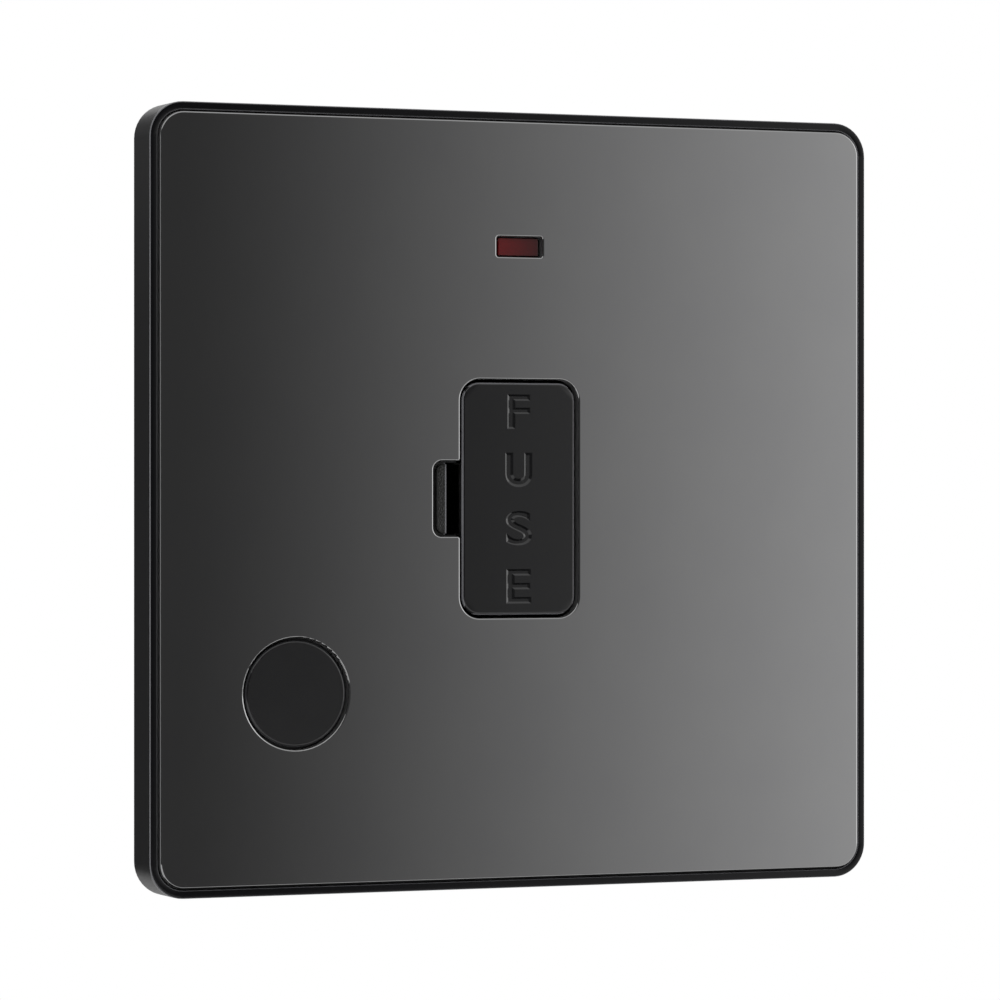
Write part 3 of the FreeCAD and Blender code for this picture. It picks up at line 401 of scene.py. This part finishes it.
metals = {
    "zinc_steel": (
        "zinc_plated_pressed_steel", "#a9adb4", "#c9c6bb", (0.24, 0.40), 0.14, "x", 0.004),
    "zinc_screw": (
        "zinc_plated_cold_headed_steel", "#a3a8b0", "#cfccc2", (0.18, 0.32), 0.10, "z", 0.002),
    "spring_steel": (
        "rolled_spring_steel", "#7b8088", "#9fa2a6", (0.20, 0.34), 0.10, "z", 0.002),
    "phosphor_bronze": (
        "rolled_phosphor_bronze", "#b98a62", "#d6a680", (0.20, 0.34), 0.10, "x", 0.002),
    "brass": (
        "extruded_brass", "#b8974e", "#dcc075", (0.20, 0.36), 0.12, "z", 0.004),
    "brass_screw": (
        "turned_brass", "#b9964a", "#dfc37a", (0.16, 0.28), 0.08, "y", 0.002),
    "tinned_wire": (
        "tinned_copper_wire", "#b4b4b2", "#d8d7d3", (0.22, 0.36), 0.12, "y", 0.002),
    "nickel_cap": (
        "nickel_plated_pressed_brass", "#b3afa6", "#d2cec3", (0.12, 0.24), 0.09, "z", 0.001),
}
for slot_name, recipe in metals.items():
    materials[slot_name] = worked_metal(*recipe)
print("metals:", len(metals))

# %% [markdown]
# The indicator window is the front of a light guide, moulded from clear red polycarbonate. Unlit,
# it is a deep wine red that lets a little of the dark inside show through, and its polished face
# carries a faint reflection of its own. Its red is painted a little brighter at its left end than
# at its right, as painted light from the left, and its depth also changes a little at random.

# %% Clear red polycarbonate
lens_half = 2.7


def clear_red_polycarbonate():
    values = {"IOR": 1.585, "Transmission Weight": 0.3, "Specular IOR Level": 0.3}
    material, tree, shader, place = new_material("clear_red_polycarbonate", values)
    density = speckle(tree, place, 1.6, (1, 1, 1), 2.0)
    aside = add_node(tree, "ShaderNodeSeparateXYZ", {"Vector": place}).outputs["X"]
    # Painted light: the red is lighter at the left end and darker towards the right, as if lit from
    # the left, with a random change on top.
    painted_light_ramp = add_node(tree, "ShaderNodeMapRange", {
        "Value": aside, "From Min": -lens_half * MM, "From Max": lens_half * MM}).outputs[0]
    flow = add_node(tree, "ShaderNodeMath", {
        0: density, 1: -0.25, 2: painted_light_ramp}, operation="MULTIPLY_ADD").outputs[0]
    dye = tint(tree, flow, colour("#5c0e10"), colour("#2c0a0c"))
    tree.links.new(dye, shader.inputs["Base Color"])
    tree.links.new(spread(tree, density, 0.08, 0.16), shader.inputs["Roughness"])
    return material


materials["red_lens"] = clear_red_polycarbonate()

# %% [markdown]
# The lamp's envelope is drawn glass tube, melted shut at its ends, so it is clear with slight
# waves. The fuse has a fired ceramic body under a thin glaze, and the lamp's resistor is a
# lacquered ceramic rod with the coloured rings that give its value.

# %% Drawn glass


def drawn_glass():
    values = {"Base Color": colour("#f2efe8"), "IOR": 1.47, "Transmission Weight": 1.0}
    material, tree, shader, place = new_material("drawn_soda_glass", values)
    waves = speckle(tree, place, 1.2, (6, 1, 1), 2.0)
    tree.links.new(spread(tree, waves, 0.0, 0.05), shader.inputs["Roughness"])
    relief(tree, shader, waves, 0.004)
    return material


materials["lamp_glass"] = drawn_glass()

# %% Fired ceramic


def glazed_ceramic():
    values = {"IOR": 1.5, "Coat Weight": 0.5, "Coat Roughness": 0.12}
    material, tree, shader, place = new_material("fired_glazed_ceramic", values)
    body = speckle(tree, place, 0.35, (1, 1, 1), 4.0)
    fired = tint(tree, body, colour("#d9d2c2"), colour("#efe9dc"))
    tree.links.new(fired, shader.inputs["Base Color"])
    tree.links.new(spread(tree, body, 0.25, 0.45), shader.inputs["Roughness"])
    relief(tree, shader, body, 0.006)
    return material


materials["fuse_ceramic"] = glazed_ceramic()

# %% Lacquered resistor with value rings
resistor_low, resistor_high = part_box("ballast_resistor")
lacquer_colour = "#b08d57"
ring_colours = ["#c62b1d", "#e0b000", "#6a2f12"]
ring_start, ring_step, ring_width = 0.26, 0.17, 0.09


def lacquered_resistor():
    """Rings are bands of paint, so they are bands of colour along the body's height."""
    values = {"IOR": 1.5, "Coat Weight": 0.4, "Coat Roughness": 0.15}
    material, tree, shader, place = new_material("lacquered_resistor_body", values)
    height = add_node(tree, "ShaderNodeSeparateXYZ", {"Vector": place}).outputs["Z"]
    along = add_node(tree, "ShaderNodeMapRange", {
        "Value": height, "From Min": resistor_low.z, "From Max": resistor_high.z}).outputs[0]
    rings = add_node(tree, "ShaderNodeValToRGB", {"Fac": along})
    ramp = rings.color_ramp
    ramp.interpolation = "CONSTANT"
    for end in ramp.elements:
        end.color = colour(lacquer_colour)
    for i, code in enumerate(ring_colours):
        start = ring_start + ring_step * i
        ramp.elements.new(start).color = colour(code)
        ramp.elements.new(start + ring_width).color = colour(lacquer_colour)
    tree.links.new(rings.outputs[0], shader.inputs["Base Color"])
    lacquer = speckle(tree, place, 0.5, (1, 1, 1), 2.0)
    tree.links.new(spread(tree, lacquer, 0.2, 0.4), shader.inputs["Roughness"])
    relief(tree, shader, lacquer, 0.01)
    return material


materials["resistor_body"] = lacquered_resistor()
print("resistor from", round(resistor_low.z / MM, 1), "to", round(resistor_high.z / MM, 1), "mm")

# %% [markdown]
# The record says which finish each piece of the construction has, so the materials are handed
# out by its list.

# %% Give the construction its finishes
for part in frame["record"]["subparts"]:
    piece = frame["nodes"][part["node"]]
    for holder in piece.material_slots:
        holder.material = materials[part["material_slot"]]

# %% [markdown]
# New pieces are modelled by hand, so a few habits are written as functions: start with nothing
# selected, change to edit mode and back, pick faces or edges by where they are, and at the end
# put the piece's place into its mesh, give it a finish and let it ride on the body that carries
# it. Small things are modelled with a millimetre drawn as a metre, because some tools have a
# smallest size, and are brought to their real size at the end. Where a piece of the construction
# needs a detail cut into it, a copy is made, merged, worked on and shown in its place. Its large
# faces get the say over the shading at the edges, so that they still look flat.

# %% Modelling helpers


def deselect_everything():
    if bpy.context.object and bpy.context.object.mode != "OBJECT":
        bpy.ops.object.mode_set(mode="OBJECT")
    bpy.ops.object.select_all(action="DESELECT")


def only(piece):
    """Selects this piece alone and makes it the active one."""
    deselect_everything()
    piece.select_set(True)
    bpy.context.view_layer.objects.active = piece


def apply_modifiers(piece):
    only(piece)
    for modifier in list(piece.modifiers):
        bpy.ops.object.modifier_apply(modifier=modifier.name)


def settle(piece):
    """Puts the piece's place, turn and size into its mesh."""
    only(piece)
    bpy.ops.object.transform_apply(location=True, rotation=True, scale=True)


def merge(pieces, name):
    """Joins several meshes into one piece."""
    only(pieces[0])
    for piece in pieces:
        piece.select_set(True)
    bpy.ops.object.join()
    joined = bpy.context.object
    joined.name = name
    return joined


def finish_piece(piece, name, body, slot_name, smooth_degrees=35.0):
    """Names a piece, smooths it, gives it its finish and lets it ride on its body."""
    piece.name = name
    settle(piece)
    bpy.ops.object.shade_smooth_by_angle(angle=math.radians(smooth_degrees))
    piece.data.materials.clear()
    piece.data.materials.append(materials[slot_name])
    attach(piece, body)
    print(name, len(piece.data.polygons), "faces")
    return piece


def copy_in_millimetres(node_name):
    """A merged copy of a piece of the construction, with a millimetre drawn as a metre."""
    deselect_everything()
    piece = bpy.data.objects.new(node_name + "_copy", frame["nodes"][node_name].data.copy())
    bpy.context.scene.collection.objects.link(piece)
    piece.scale = (PER_MM, PER_MM, PER_MM)
    settle(piece)
    bpy.ops.mesh.customdata_custom_splitnormals_clear()
    bpy.ops.object.mode_set(mode="EDIT")
    bpy.ops.mesh.select_all(action="SELECT")
    bpy.ops.mesh.remove_doubles(threshold=0.0001)
    bpy.ops.object.mode_set(mode="OBJECT")
    return piece


def take_its_place(piece, name, node_name, body, slot_name, smooth_degrees):
    """Brings such a copy to its real size and shows it in place of the piece it was made from."""
    piece.scale = (MM, MM, MM)
    finish_piece(piece, name, body, slot_name, smooth_degrees)
    level_faces = piece.modifiers.new("level_faces", "WEIGHTED_NORMAL")
    level_faces.weight = 100
    level_faces.keep_sharp = True
    apply_modifiers(piece)
    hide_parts(node_name)


print("modelling helpers ready")

# %% [markdown]
# In the photograph two thin bright lines run round the plate. One is the plate's own rounded
# edge, the other is the inner edge of the surround's rim, which the mould rounds a little. The
# loop of edges is picked by its place: in the plane of the rim's front and one rim's width in
# from the outline, a square with round corners. Then it is bevelled.

# %% Rounded inner edge of the rim
rim_width = 1.0
rim_inner_round = 0.22
outline_half = 47.5
outline_radius = 4.2


def on_inner_edge(point):
    straight = outline_half - outline_radius
    over = math.hypot(max(abs(point.x) - straight, 0.0), max(abs(point.z) - straight, 0.0))
    inward = outline_radius - over
    return abs(point.y - frame_low.y * PER_MM) < 0.01 and abs(inward - rim_width) < 0.03


def surround_with_round_rim():
    surround = copy_in_millimetres("mounting_frame")
    bpy.ops.object.mode_set(mode="EDIT")
    bpy.ops.mesh.select_mode(type="EDGE")
    bpy.ops.mesh.select_all(action="DESELECT")
    bpy.ops.object.mode_set(mode="OBJECT")
    points = surround.data.vertices
    for edge in surround.data.edges:
        edge.select = all(on_inner_edge(points[i].co) for i in edge.vertices)
    print("edges of the rim to round:", sum(edge.select for edge in surround.data.edges))
    bpy.ops.object.mode_set(mode="EDIT")
    bpy.ops.mesh.bevel(offset=rim_inner_round, segments=3)
    bpy.ops.object.mode_set(mode="OBJECT")
    take_its_place(surround, "surround_round_rim", "mounting_frame", "base", "surround_plastic",
                   smooth_degrees=20.0)


surround_with_round_rim()

# %% [markdown]
# The drawer's face says what is behind it, in four engraved capitals, one below the other. The
# mould's tool had sloping sides, so every stroke is a shallow trough: about a millimetre wide at
# the face, with walls that slope in by 0.3 mm and a flat floor 0.18 mm down. Each capital starts
# as a text object of the plain built-in typeface. Its own bevel gives the slope: the wide outline
# of the bevel lies in the drawer's face, and the narrow outline is the floor. The typeface is
# thin and narrow, so each letter has its own width, weight and bevel, which make all strokes and
# walls alike. Made a mesh, the four are subtracted from a copy of the drawer.

# %% Capitals engraved in the fuse drawer
letter_size = 6.0
letter_height = 4.22
letter_shapes = {  # width, weight and bevel
    "F": (3.02, -0.12, 0.25),
    "U": (3.58, -0.045, 0.36),
    "S": (3.44, -0.12, 0.25),
    "E": (3.32, -0.10, 0.25),
}
letter_pitch = 7.13
letter_top_centre = 10.82
letter_depth = 0.18
drawer_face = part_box("fuse_carrier")[0].y * PER_MM


def letter_cutter(letter, width, weight, slope, height_above):
    """One capital as a cutter, with a millimetre drawn as a metre."""
    deselect_everything()
    bpy.ops.object.text_add()
    text = bpy.context.object
    text.data.body = letter
    text.data.size = letter_size
    text.data.offset = weight
    text.data.extrude = slope
    text.data.bevel_depth = slope
    text.data.bevel_resolution = 0
    bpy.ops.object.convert(target="MESH")
    cutter = bpy.context.object
    depth_scale = letter_depth / slope
    cutter.scale = (width / cutter.dimensions.x, letter_height / cutter.dimensions.y, depth_scale)
    settle(cutter)
    corners = [Vector(c) for c in cutter.bound_box]
    cutter.location = -(corners[0] + corners[6]) / 2
    settle(cutter)
    cutter.rotation_euler = (math.radians(90), 0.0, 0.0)
    cutter.location = (0.0, drawer_face - letter_depth, height_above)
    settle(cutter)
    bpy.ops.object.mode_set(mode="EDIT")
    bpy.ops.mesh.select_all(action="SELECT")
    bpy.ops.mesh.remove_doubles(threshold=0.001)
    bpy.ops.mesh.normals_make_consistent(inside=False)
    bpy.ops.object.mode_set(mode="OBJECT")
    return cutter


def engraved_drawer():
    drawer = copy_in_millimetres("fuse_carrier")
    cutters = []
    for i, (letter, shape) in enumerate(letter_shapes.items()):
        cutters.append(letter_cutter(letter, *shape, letter_top_centre - i * letter_pitch))
    capitals = merge(cutters, "capitals")
    engraving = drawer.modifiers.new("engraving", "BOOLEAN")
    engraving.object = capitals
    engraving.solver = "EXACT"
    apply_modifiers(drawer)
    bpy.data.objects.remove(capitals)
    take_its_place(drawer, "fuse_drawer_engraved", "fuse_carrier", "drawer", "fitting_plastic",
                   smooth_degrees=20.0)


engraved_drawer()

# %% [markdown]
# The pad in the pry notch is where a blade or a fingernail finds hold. It has a coarse grain
# with its own highlights. A block of the pad's size gets the two round corners of the notch by
# a bevel, is remeshed finely, and is then pushed in and out by a cloudy texture, 0.09 mm deep.

# %% Grain of the pry pad
pad_front = -5.55
pad_corner = 0.9
pad_skin = 0.5
pad_round = 0.14
pad_net = 0.05
pad_grain, pad_grain_size = 0.09, 0.16


def pry_pad():
    deselect_everything()
    middle = ((pad_left + pad_right) / 2, pad_front + pad_skin / 2, pad_middle)
    bpy.ops.mesh.primitive_cube_add(size=1.0, location=middle)
    pad = bpy.context.object
    pad.scale = (pad_right - pad_left, pad_skin, 2 * pad_half_height)
    settle(pad)
    bpy.ops.object.mode_set(mode="EDIT")
    bpy.ops.mesh.select_mode(type="EDGE")
    bpy.ops.mesh.select_all(action="DESELECT")
    bpy.ops.object.mode_set(mode="OBJECT")
    points = pad.data.vertices
    for edge in pad.data.edges:
        ends = [points[i].co for i in edge.vertices]
        depthwise = abs(ends[0].y - ends[1].y) > pad_skin / 2
        edge.select = depthwise and ends[0].x < middle[0]
    bpy.ops.object.mode_set(mode="EDIT")
    bpy.ops.mesh.bevel(offset=pad_corner, segments=8)
    bpy.ops.object.mode_set(mode="OBJECT")
    rounding = pad.modifiers.new("rounding", "BEVEL")
    rounding.width = pad_round
    rounding.segments = 3
    rounding.limit_method = "ANGLE"
    rounding.angle_limit = math.radians(60)
    net = pad.modifiers.new("net", "REMESH")
    net.mode = "VOXEL"
    net.voxel_size = pad_net
    cloud = bpy.data.textures.new("pad_grain_cloud", "CLOUDS")
    cloud.noise_scale = pad_grain_size
    cloud.noise_depth = 1
    grain = pad.modifiers.new("grain", "DISPLACE")
    grain.texture = cloud
    grain.strength = pad_grain
    grain.mid_level = 0.35
    apply_modifiers(pad)
    pad.scale = (MM, MM, MM)
    return finish_piece(pad, "pry_pad_grain", "base", "surround_plastic", 70.0)


pry_pad()

# %% [markdown]
# Inside the lamp, two nickel posts lie side by side, each held at its own end of the tube, and
# the gas glows in the 0.8 mm between them. They are thin rods with rounded ends: cylinders whose
# end edges are bevelled.

# %% Electrodes in the lamp
lamp_low, lamp_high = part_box("neon_lamp")
electrode_length = 8.5
electrode_thickness = 0.7
electrode_spacing = 1.5
electrode_shift = 1.2


def lamp_electrodes():
    axis_y = (lamp_low.y + lamp_high.y) / 2 / MM
    axis_z = (lamp_low.z + lamp_high.z) / 2 / MM
    posts = []
    for side in (-1, 1):
        deselect_everything()
        bpy.ops.mesh.primitive_cylinder_add(
            vertices=24, radius=electrode_thickness / 2, depth=electrode_length,
            location=(side * electrode_shift, axis_y, axis_z + side * electrode_spacing / 2),
            rotation=(0.0, math.radians(90), 0.0))
        post = bpy.context.object
        settle(post)
        ends = post.modifiers.new("ends", "BEVEL")
        ends.width = electrode_thickness / 4
        ends.segments = 3
        ends.limit_method = "ANGLE"
        ends.angle_limit = math.radians(60)
        apply_modifiers(post)
        posts.append(post)
    pair = merge(posts, "lamp_electrodes")
    pair.scale = (MM, MM, MM)
    return finish_piece(pair, "lamp_electrodes", "base", "nickel_cap")


lamp_electrodes()

# %% [markdown]
# The stage. The unit is fixed to nothing here: the photograph shows it free on white. A pale
# floor lies well below it. Close to the unit the floor is a plain matt surface that takes its
# shadow, and further out it turns into the white of the background. The camera looks level, so
# from its place only the white part is in view. From below the floor is clear, so that the
# unit's underside can be looked at too.

# %% Floor
floor_height = -0.13
floor_size = 12.0
shadow_radius = 0.30
white_radius = 0.55


def seen_by_eye(tree):
    """1 for the rays of the picture: from the camera, off a mirror or through glass."""
    rays = add_node(tree, "ShaderNodeLightPath").outputs
    seen = rays["Is Camera Ray"]
    for kind in ("Is Glossy Ray", "Is Transmission Ray"):
        seen = add_node(tree, "ShaderNodeMath", {
            0: seen, 1: rays[kind]}, operation="ADD", use_clamp=True).outputs[0]
    return seen


def floor_material():
    material, tree, shader, place = new_material("pale_studio_floor", {
        "Base Color": colour("#f4f4f4"), "Roughness": 0.9})
    tree.nodes.remove(tree.nodes["Material Output"])
    distance = add_node(tree, "ShaderNodeVectorMath", {0: place}, operation="LENGTH")
    outer = add_node(tree, "ShaderNodeMapRange", {
        "Value": distance.outputs["Value"], "From Min": shadow_radius, "From Max": white_radius},
        interpolation_type="SMOOTHSTEP")
    share = product(tree, outer.outputs[0], seen_by_eye(tree))
    white = add_node(tree, "ShaderNodeEmission", {"Color": (1, 1, 1, 1), "Strength": 1.0})
    mixed = add_node(tree, "ShaderNodeMixShader", {
        0: share, 1: shader.outputs[0], 2: white.outputs[0]})
    below = add_node(tree, "ShaderNodeNewGeometry").outputs["Backfacing"]
    clear = add_node(tree, "ShaderNodeBsdfTransparent")
    one_sided = add_node(tree, "ShaderNodeMixShader", {
        0: below, 1: mixed.outputs[0], 2: clear.outputs[0]})
    add_node(tree, "ShaderNodeOutputMaterial", {"Surface": one_sided.outputs[0]})
    return material


deselect_everything()
bpy.ops.mesh.primitive_grid_add(
    x_subdivisions=8, y_subdivisions=8, size=floor_size, location=(0, 0, floor_height))
floor = bpy.context.object
floor.name = "studio_floor"
floor.data.materials.append(floor_material())
floor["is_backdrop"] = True
print("floor at", floor_height, "m")

# %% [markdown]
# A polished plate shows what stands before it. In the photograph it runs from near black on its
# left to mid grey on its right, so the photographer had a black card in front that runs to white
# on its right-hand side. Here it is a curved card, a part of an upright cylinder round the unit.
# The plate mirrors what lies from 15 to 30 degrees to its right, so the card brightens over
# that stretch, by a power curve like the falling off of light along a painted cove. To the left
# it stays dark until it is level with the unit, because the windows' edges that face left are
# dark too. The camera and the soft light on matt surfaces don't see it.

# %% Graded card in front of the plate
card_radius = 0.80
card_top = 0.36
card_left, card_right = -92.0, 150.0
grade_start, grade_end = 15.6, 29.85
grade_dark, grade_rise, grade_power = 0.083, 0.76, 1.45
grade_reach = 1.9


def card_material(name):
    """A material that only glows, its tree and the glow."""
    material = bpy.data.materials.new(name)
    material.use_nodes = True
    tree = material.node_tree
    tree.nodes.clear()
    glow = add_node(tree, "ShaderNodeEmission", {"Color": (1, 1, 1, 1)})
    add_node(tree, "ShaderNodeOutputMaterial", {"Surface": glow.outputs[0]})
    return material, tree, glow


def graded_card_material():
    """Dark up to one heading, then brighter and brighter to the right of it."""
    material, tree, glow = card_material("graded_card")
    place = add_node(tree, "ShaderNodeTexCoord").outputs["Object"]
    axes = add_node(tree, "ShaderNodeSeparateXYZ", {"Vector": place}).outputs
    front = add_node(tree, "ShaderNodeMath", {0: axes["Y"], 1: -1.0}, operation="MULTIPLY")
    turn = add_node(tree, "ShaderNodeMath", {0: axes["X"], 1: front.outputs[0]},
                    operation="ARCTAN2")
    turn = add_node(tree, "ShaderNodeMath", {0: turn.outputs[0]}, operation="DEGREES")
    right = add_node(tree, "ShaderNodeMapRange", {
        "Value": turn.outputs[0], "From Min": grade_start,
        "From Max": grade_start + (grade_end - grade_start) * grade_reach,
        "To Min": 0.0, "To Max": grade_reach})
    right = add_node(tree, "ShaderNodeMath", {0: right.outputs[0], 1: grade_power},
                     operation="POWER")
    level = add_node(tree, "ShaderNodeMath", {
        0: right.outputs[0], 1: grade_rise, 2: grade_dark}, operation="MULTIPLY_ADD")
    tree.links.new(level.outputs[0], glow.inputs["Strength"])
    return material


def only_in_reflections(card):
    card.visible_camera = False
    card.visible_diffuse = False
    card.visible_transmission = False
    card.visible_shadow = False


def heading(point):
    """Degrees to the right of straight in front."""
    return math.degrees(math.atan2(point.x, -point.y))


def curved_card(name, left, right, top, material):
    """A part of an upright cylinder round the unit, between two headings."""
    deselect_everything()
    bpy.ops.mesh.primitive_cylinder_add(
        vertices=240, radius=card_radius, depth=top - floor_height, end_fill_type="NOTHING",
        location=(0, 0, (top + floor_height) / 2))
    card = bpy.context.object
    card.name = name
    bpy.ops.object.mode_set(mode="EDIT")
    bpy.ops.mesh.select_mode(type="FACE")
    bpy.ops.mesh.select_all(action="DESELECT")
    bpy.ops.object.mode_set(mode="OBJECT")
    for face in card.data.polygons:
        face.select = not left <= heading(face.center) <= right
    bpy.ops.object.mode_set(mode="EDIT")
    bpy.ops.mesh.delete(type="FACE")
    bpy.ops.object.mode_set(mode="OBJECT")
    card.data.materials.append(material)
    only_in_reflections(card)
    card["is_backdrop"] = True
    print(name, len(card.data.polygons), "faces")


curved_card("graded_card", card_left, card_right, card_top, graded_card_material())

# %% [markdown]
# The other cards have one plain level, or two. The first is a strip of light at the unit's left,
# level with it: it draws the thin bright line down the left front edge of the surround, and no
# window's edge mirrors it.

# %% Strip of light at the left
strip_left, strip_right = -126.0, -96.0
strip_top = 0.20
strip_level = 2.6


def plain_card_material(name, level):
    material, tree, glow = card_material(name)
    glow.inputs["Strength"].default_value = level
    return material


strip_material = plain_card_material("light_strip", strip_level)
curved_card("light_strip_left", strip_left, strip_right, strip_top, strip_material)

# %% [markdown]
# The left wall of the surround is seen at a flat angle, and plastic mirrors strongly there. In
# the photograph it is dark, so a black flag stood behind the unit on its left, just outside the
# picture. Its upper part catches some light, and the wall mirrors that near its top.

# %% Black flag for the side wall
flag_direction = Vector((-math.sin(view_turn), math.cos(view_turn), 0.0))
flag_distance = 0.32
flag_width, flag_height = 0.30, 0.42
flag_level, flag_top_level = 0.07, 0.20
flag_grade_start, flag_grade_end = 0.040, 0.072
side_wall = Vector((frame_low.x, (frame_low.y + frame_high.y) / 2, 0.0))


def graded_flag_material():
    """Dark up to one height above the unit's middle, then lighter up to another."""
    material, tree, glow = card_material("black_flag_cloth")
    place = add_node(tree, "ShaderNodeTexCoord").outputs["Object"]
    upward = add_node(tree, "ShaderNodeSeparateXYZ", {"Vector": place}).outputs["Y"]
    level = add_node(tree, "ShaderNodeMapRange", {
        "Value": upward, "From Min": flag_grade_start / flag_height,
        "From Max": flag_grade_end / flag_height, "To Min": flag_level,
        "To Max": flag_top_level})
    tree.links.new(level.outputs[0], glow.inputs["Strength"])
    return material


deselect_everything()
bpy.ops.mesh.primitive_plane_add(
    size=1.0, location=side_wall + flag_direction * flag_distance,
    rotation=(math.radians(90), 0.0, view_turn))
flag = bpy.context.object
flag.name = "black_flag"
flag.scale = (flag_width, flag_height, 1.0)
flag.data.materials.append(graded_flag_material())
only_in_reflections(flag)
flag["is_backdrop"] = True
print("flag at", [round(v, 3) for v in flag.location])

# %% [markdown]
# In the photograph the drawer's and the plug's edges that face down show no bright line, although
# the floor is white. So a black card lay right under the unit. It shows in reflections only.

# %% Black card under the unit
under_radius = 0.13
under_gap = 0.004
under_level = 0.03

deselect_everything()
bpy.ops.mesh.primitive_circle_add(
    vertices=96, radius=under_radius, fill_type="NGON",
    location=(0, 0, floor_height + under_gap))
under_card = bpy.context.object
under_card.name = "black_card_under_the_unit"
under_card.data.materials.append(plain_card_material("black_card", under_level))
only_in_reflections(under_card)
under_card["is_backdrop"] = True
print("black card", under_radius, "m in radius")

# %% [markdown]
# The room's light is even and soft: matt surfaces get a plain level from all round, and two large
# lamps high above add direction. Nothing glossy mirrors them, as if they stood behind silk.
# The background is white for the eye, in mirrors and through glass.

# %% Light
room_level = 0.55
world = bpy.data.worlds.new("white_studio")
world.use_nodes = True
bpy.context.scene.world = world
world.node_tree.nodes.clear()
level = spread(world.node_tree, seen_by_eye(world.node_tree), room_level, 1.0)
sky = add_node(world.node_tree, "ShaderNodeBackground", {
    "Color": (1, 1, 1, 1), "Strength": level})
add_node(world.node_tree, "ShaderNodeOutputWorld", {"Surface": sky.outputs[0]})


def soft_lamp(name, place, size, watts):
    """A square lamp that points at the unit."""
    data = bpy.data.lights.new(name, "AREA")
    data.shape = "SQUARE"
    data.size = size
    data.energy = watts
    lamp = bpy.data.objects.new(name, data)
    lamp.location = place
    lamp.rotation_euler = (-Vector(place)).to_track_quat("-Z", "Y").to_euler()
    lamp.visible_glossy = False
    bpy.context.scene.collection.objects.link(lamp)
    return lamp


soft_lamp("key_lamp", (-0.75, -1.0, 1.15), 0.7, 14.0)
soft_lamp("fill_lamp", (1.1, -0.6, 0.9), 0.8, 7.0)
print("lamps placed")

# %% [markdown]
# Last, the two boxes are printed: the construction's, and that of the dressed model.

# %% Sizes and finish
deselect_everything()
boxes = {
    "construction": [list(corner) for corner in construction_box],
    "dressed": [list(corner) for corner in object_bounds()],
}
for name, box in boxes.items():
    print(name, "box in mm:", [[round(v / MM, 2) for v in corner] for corner in box])
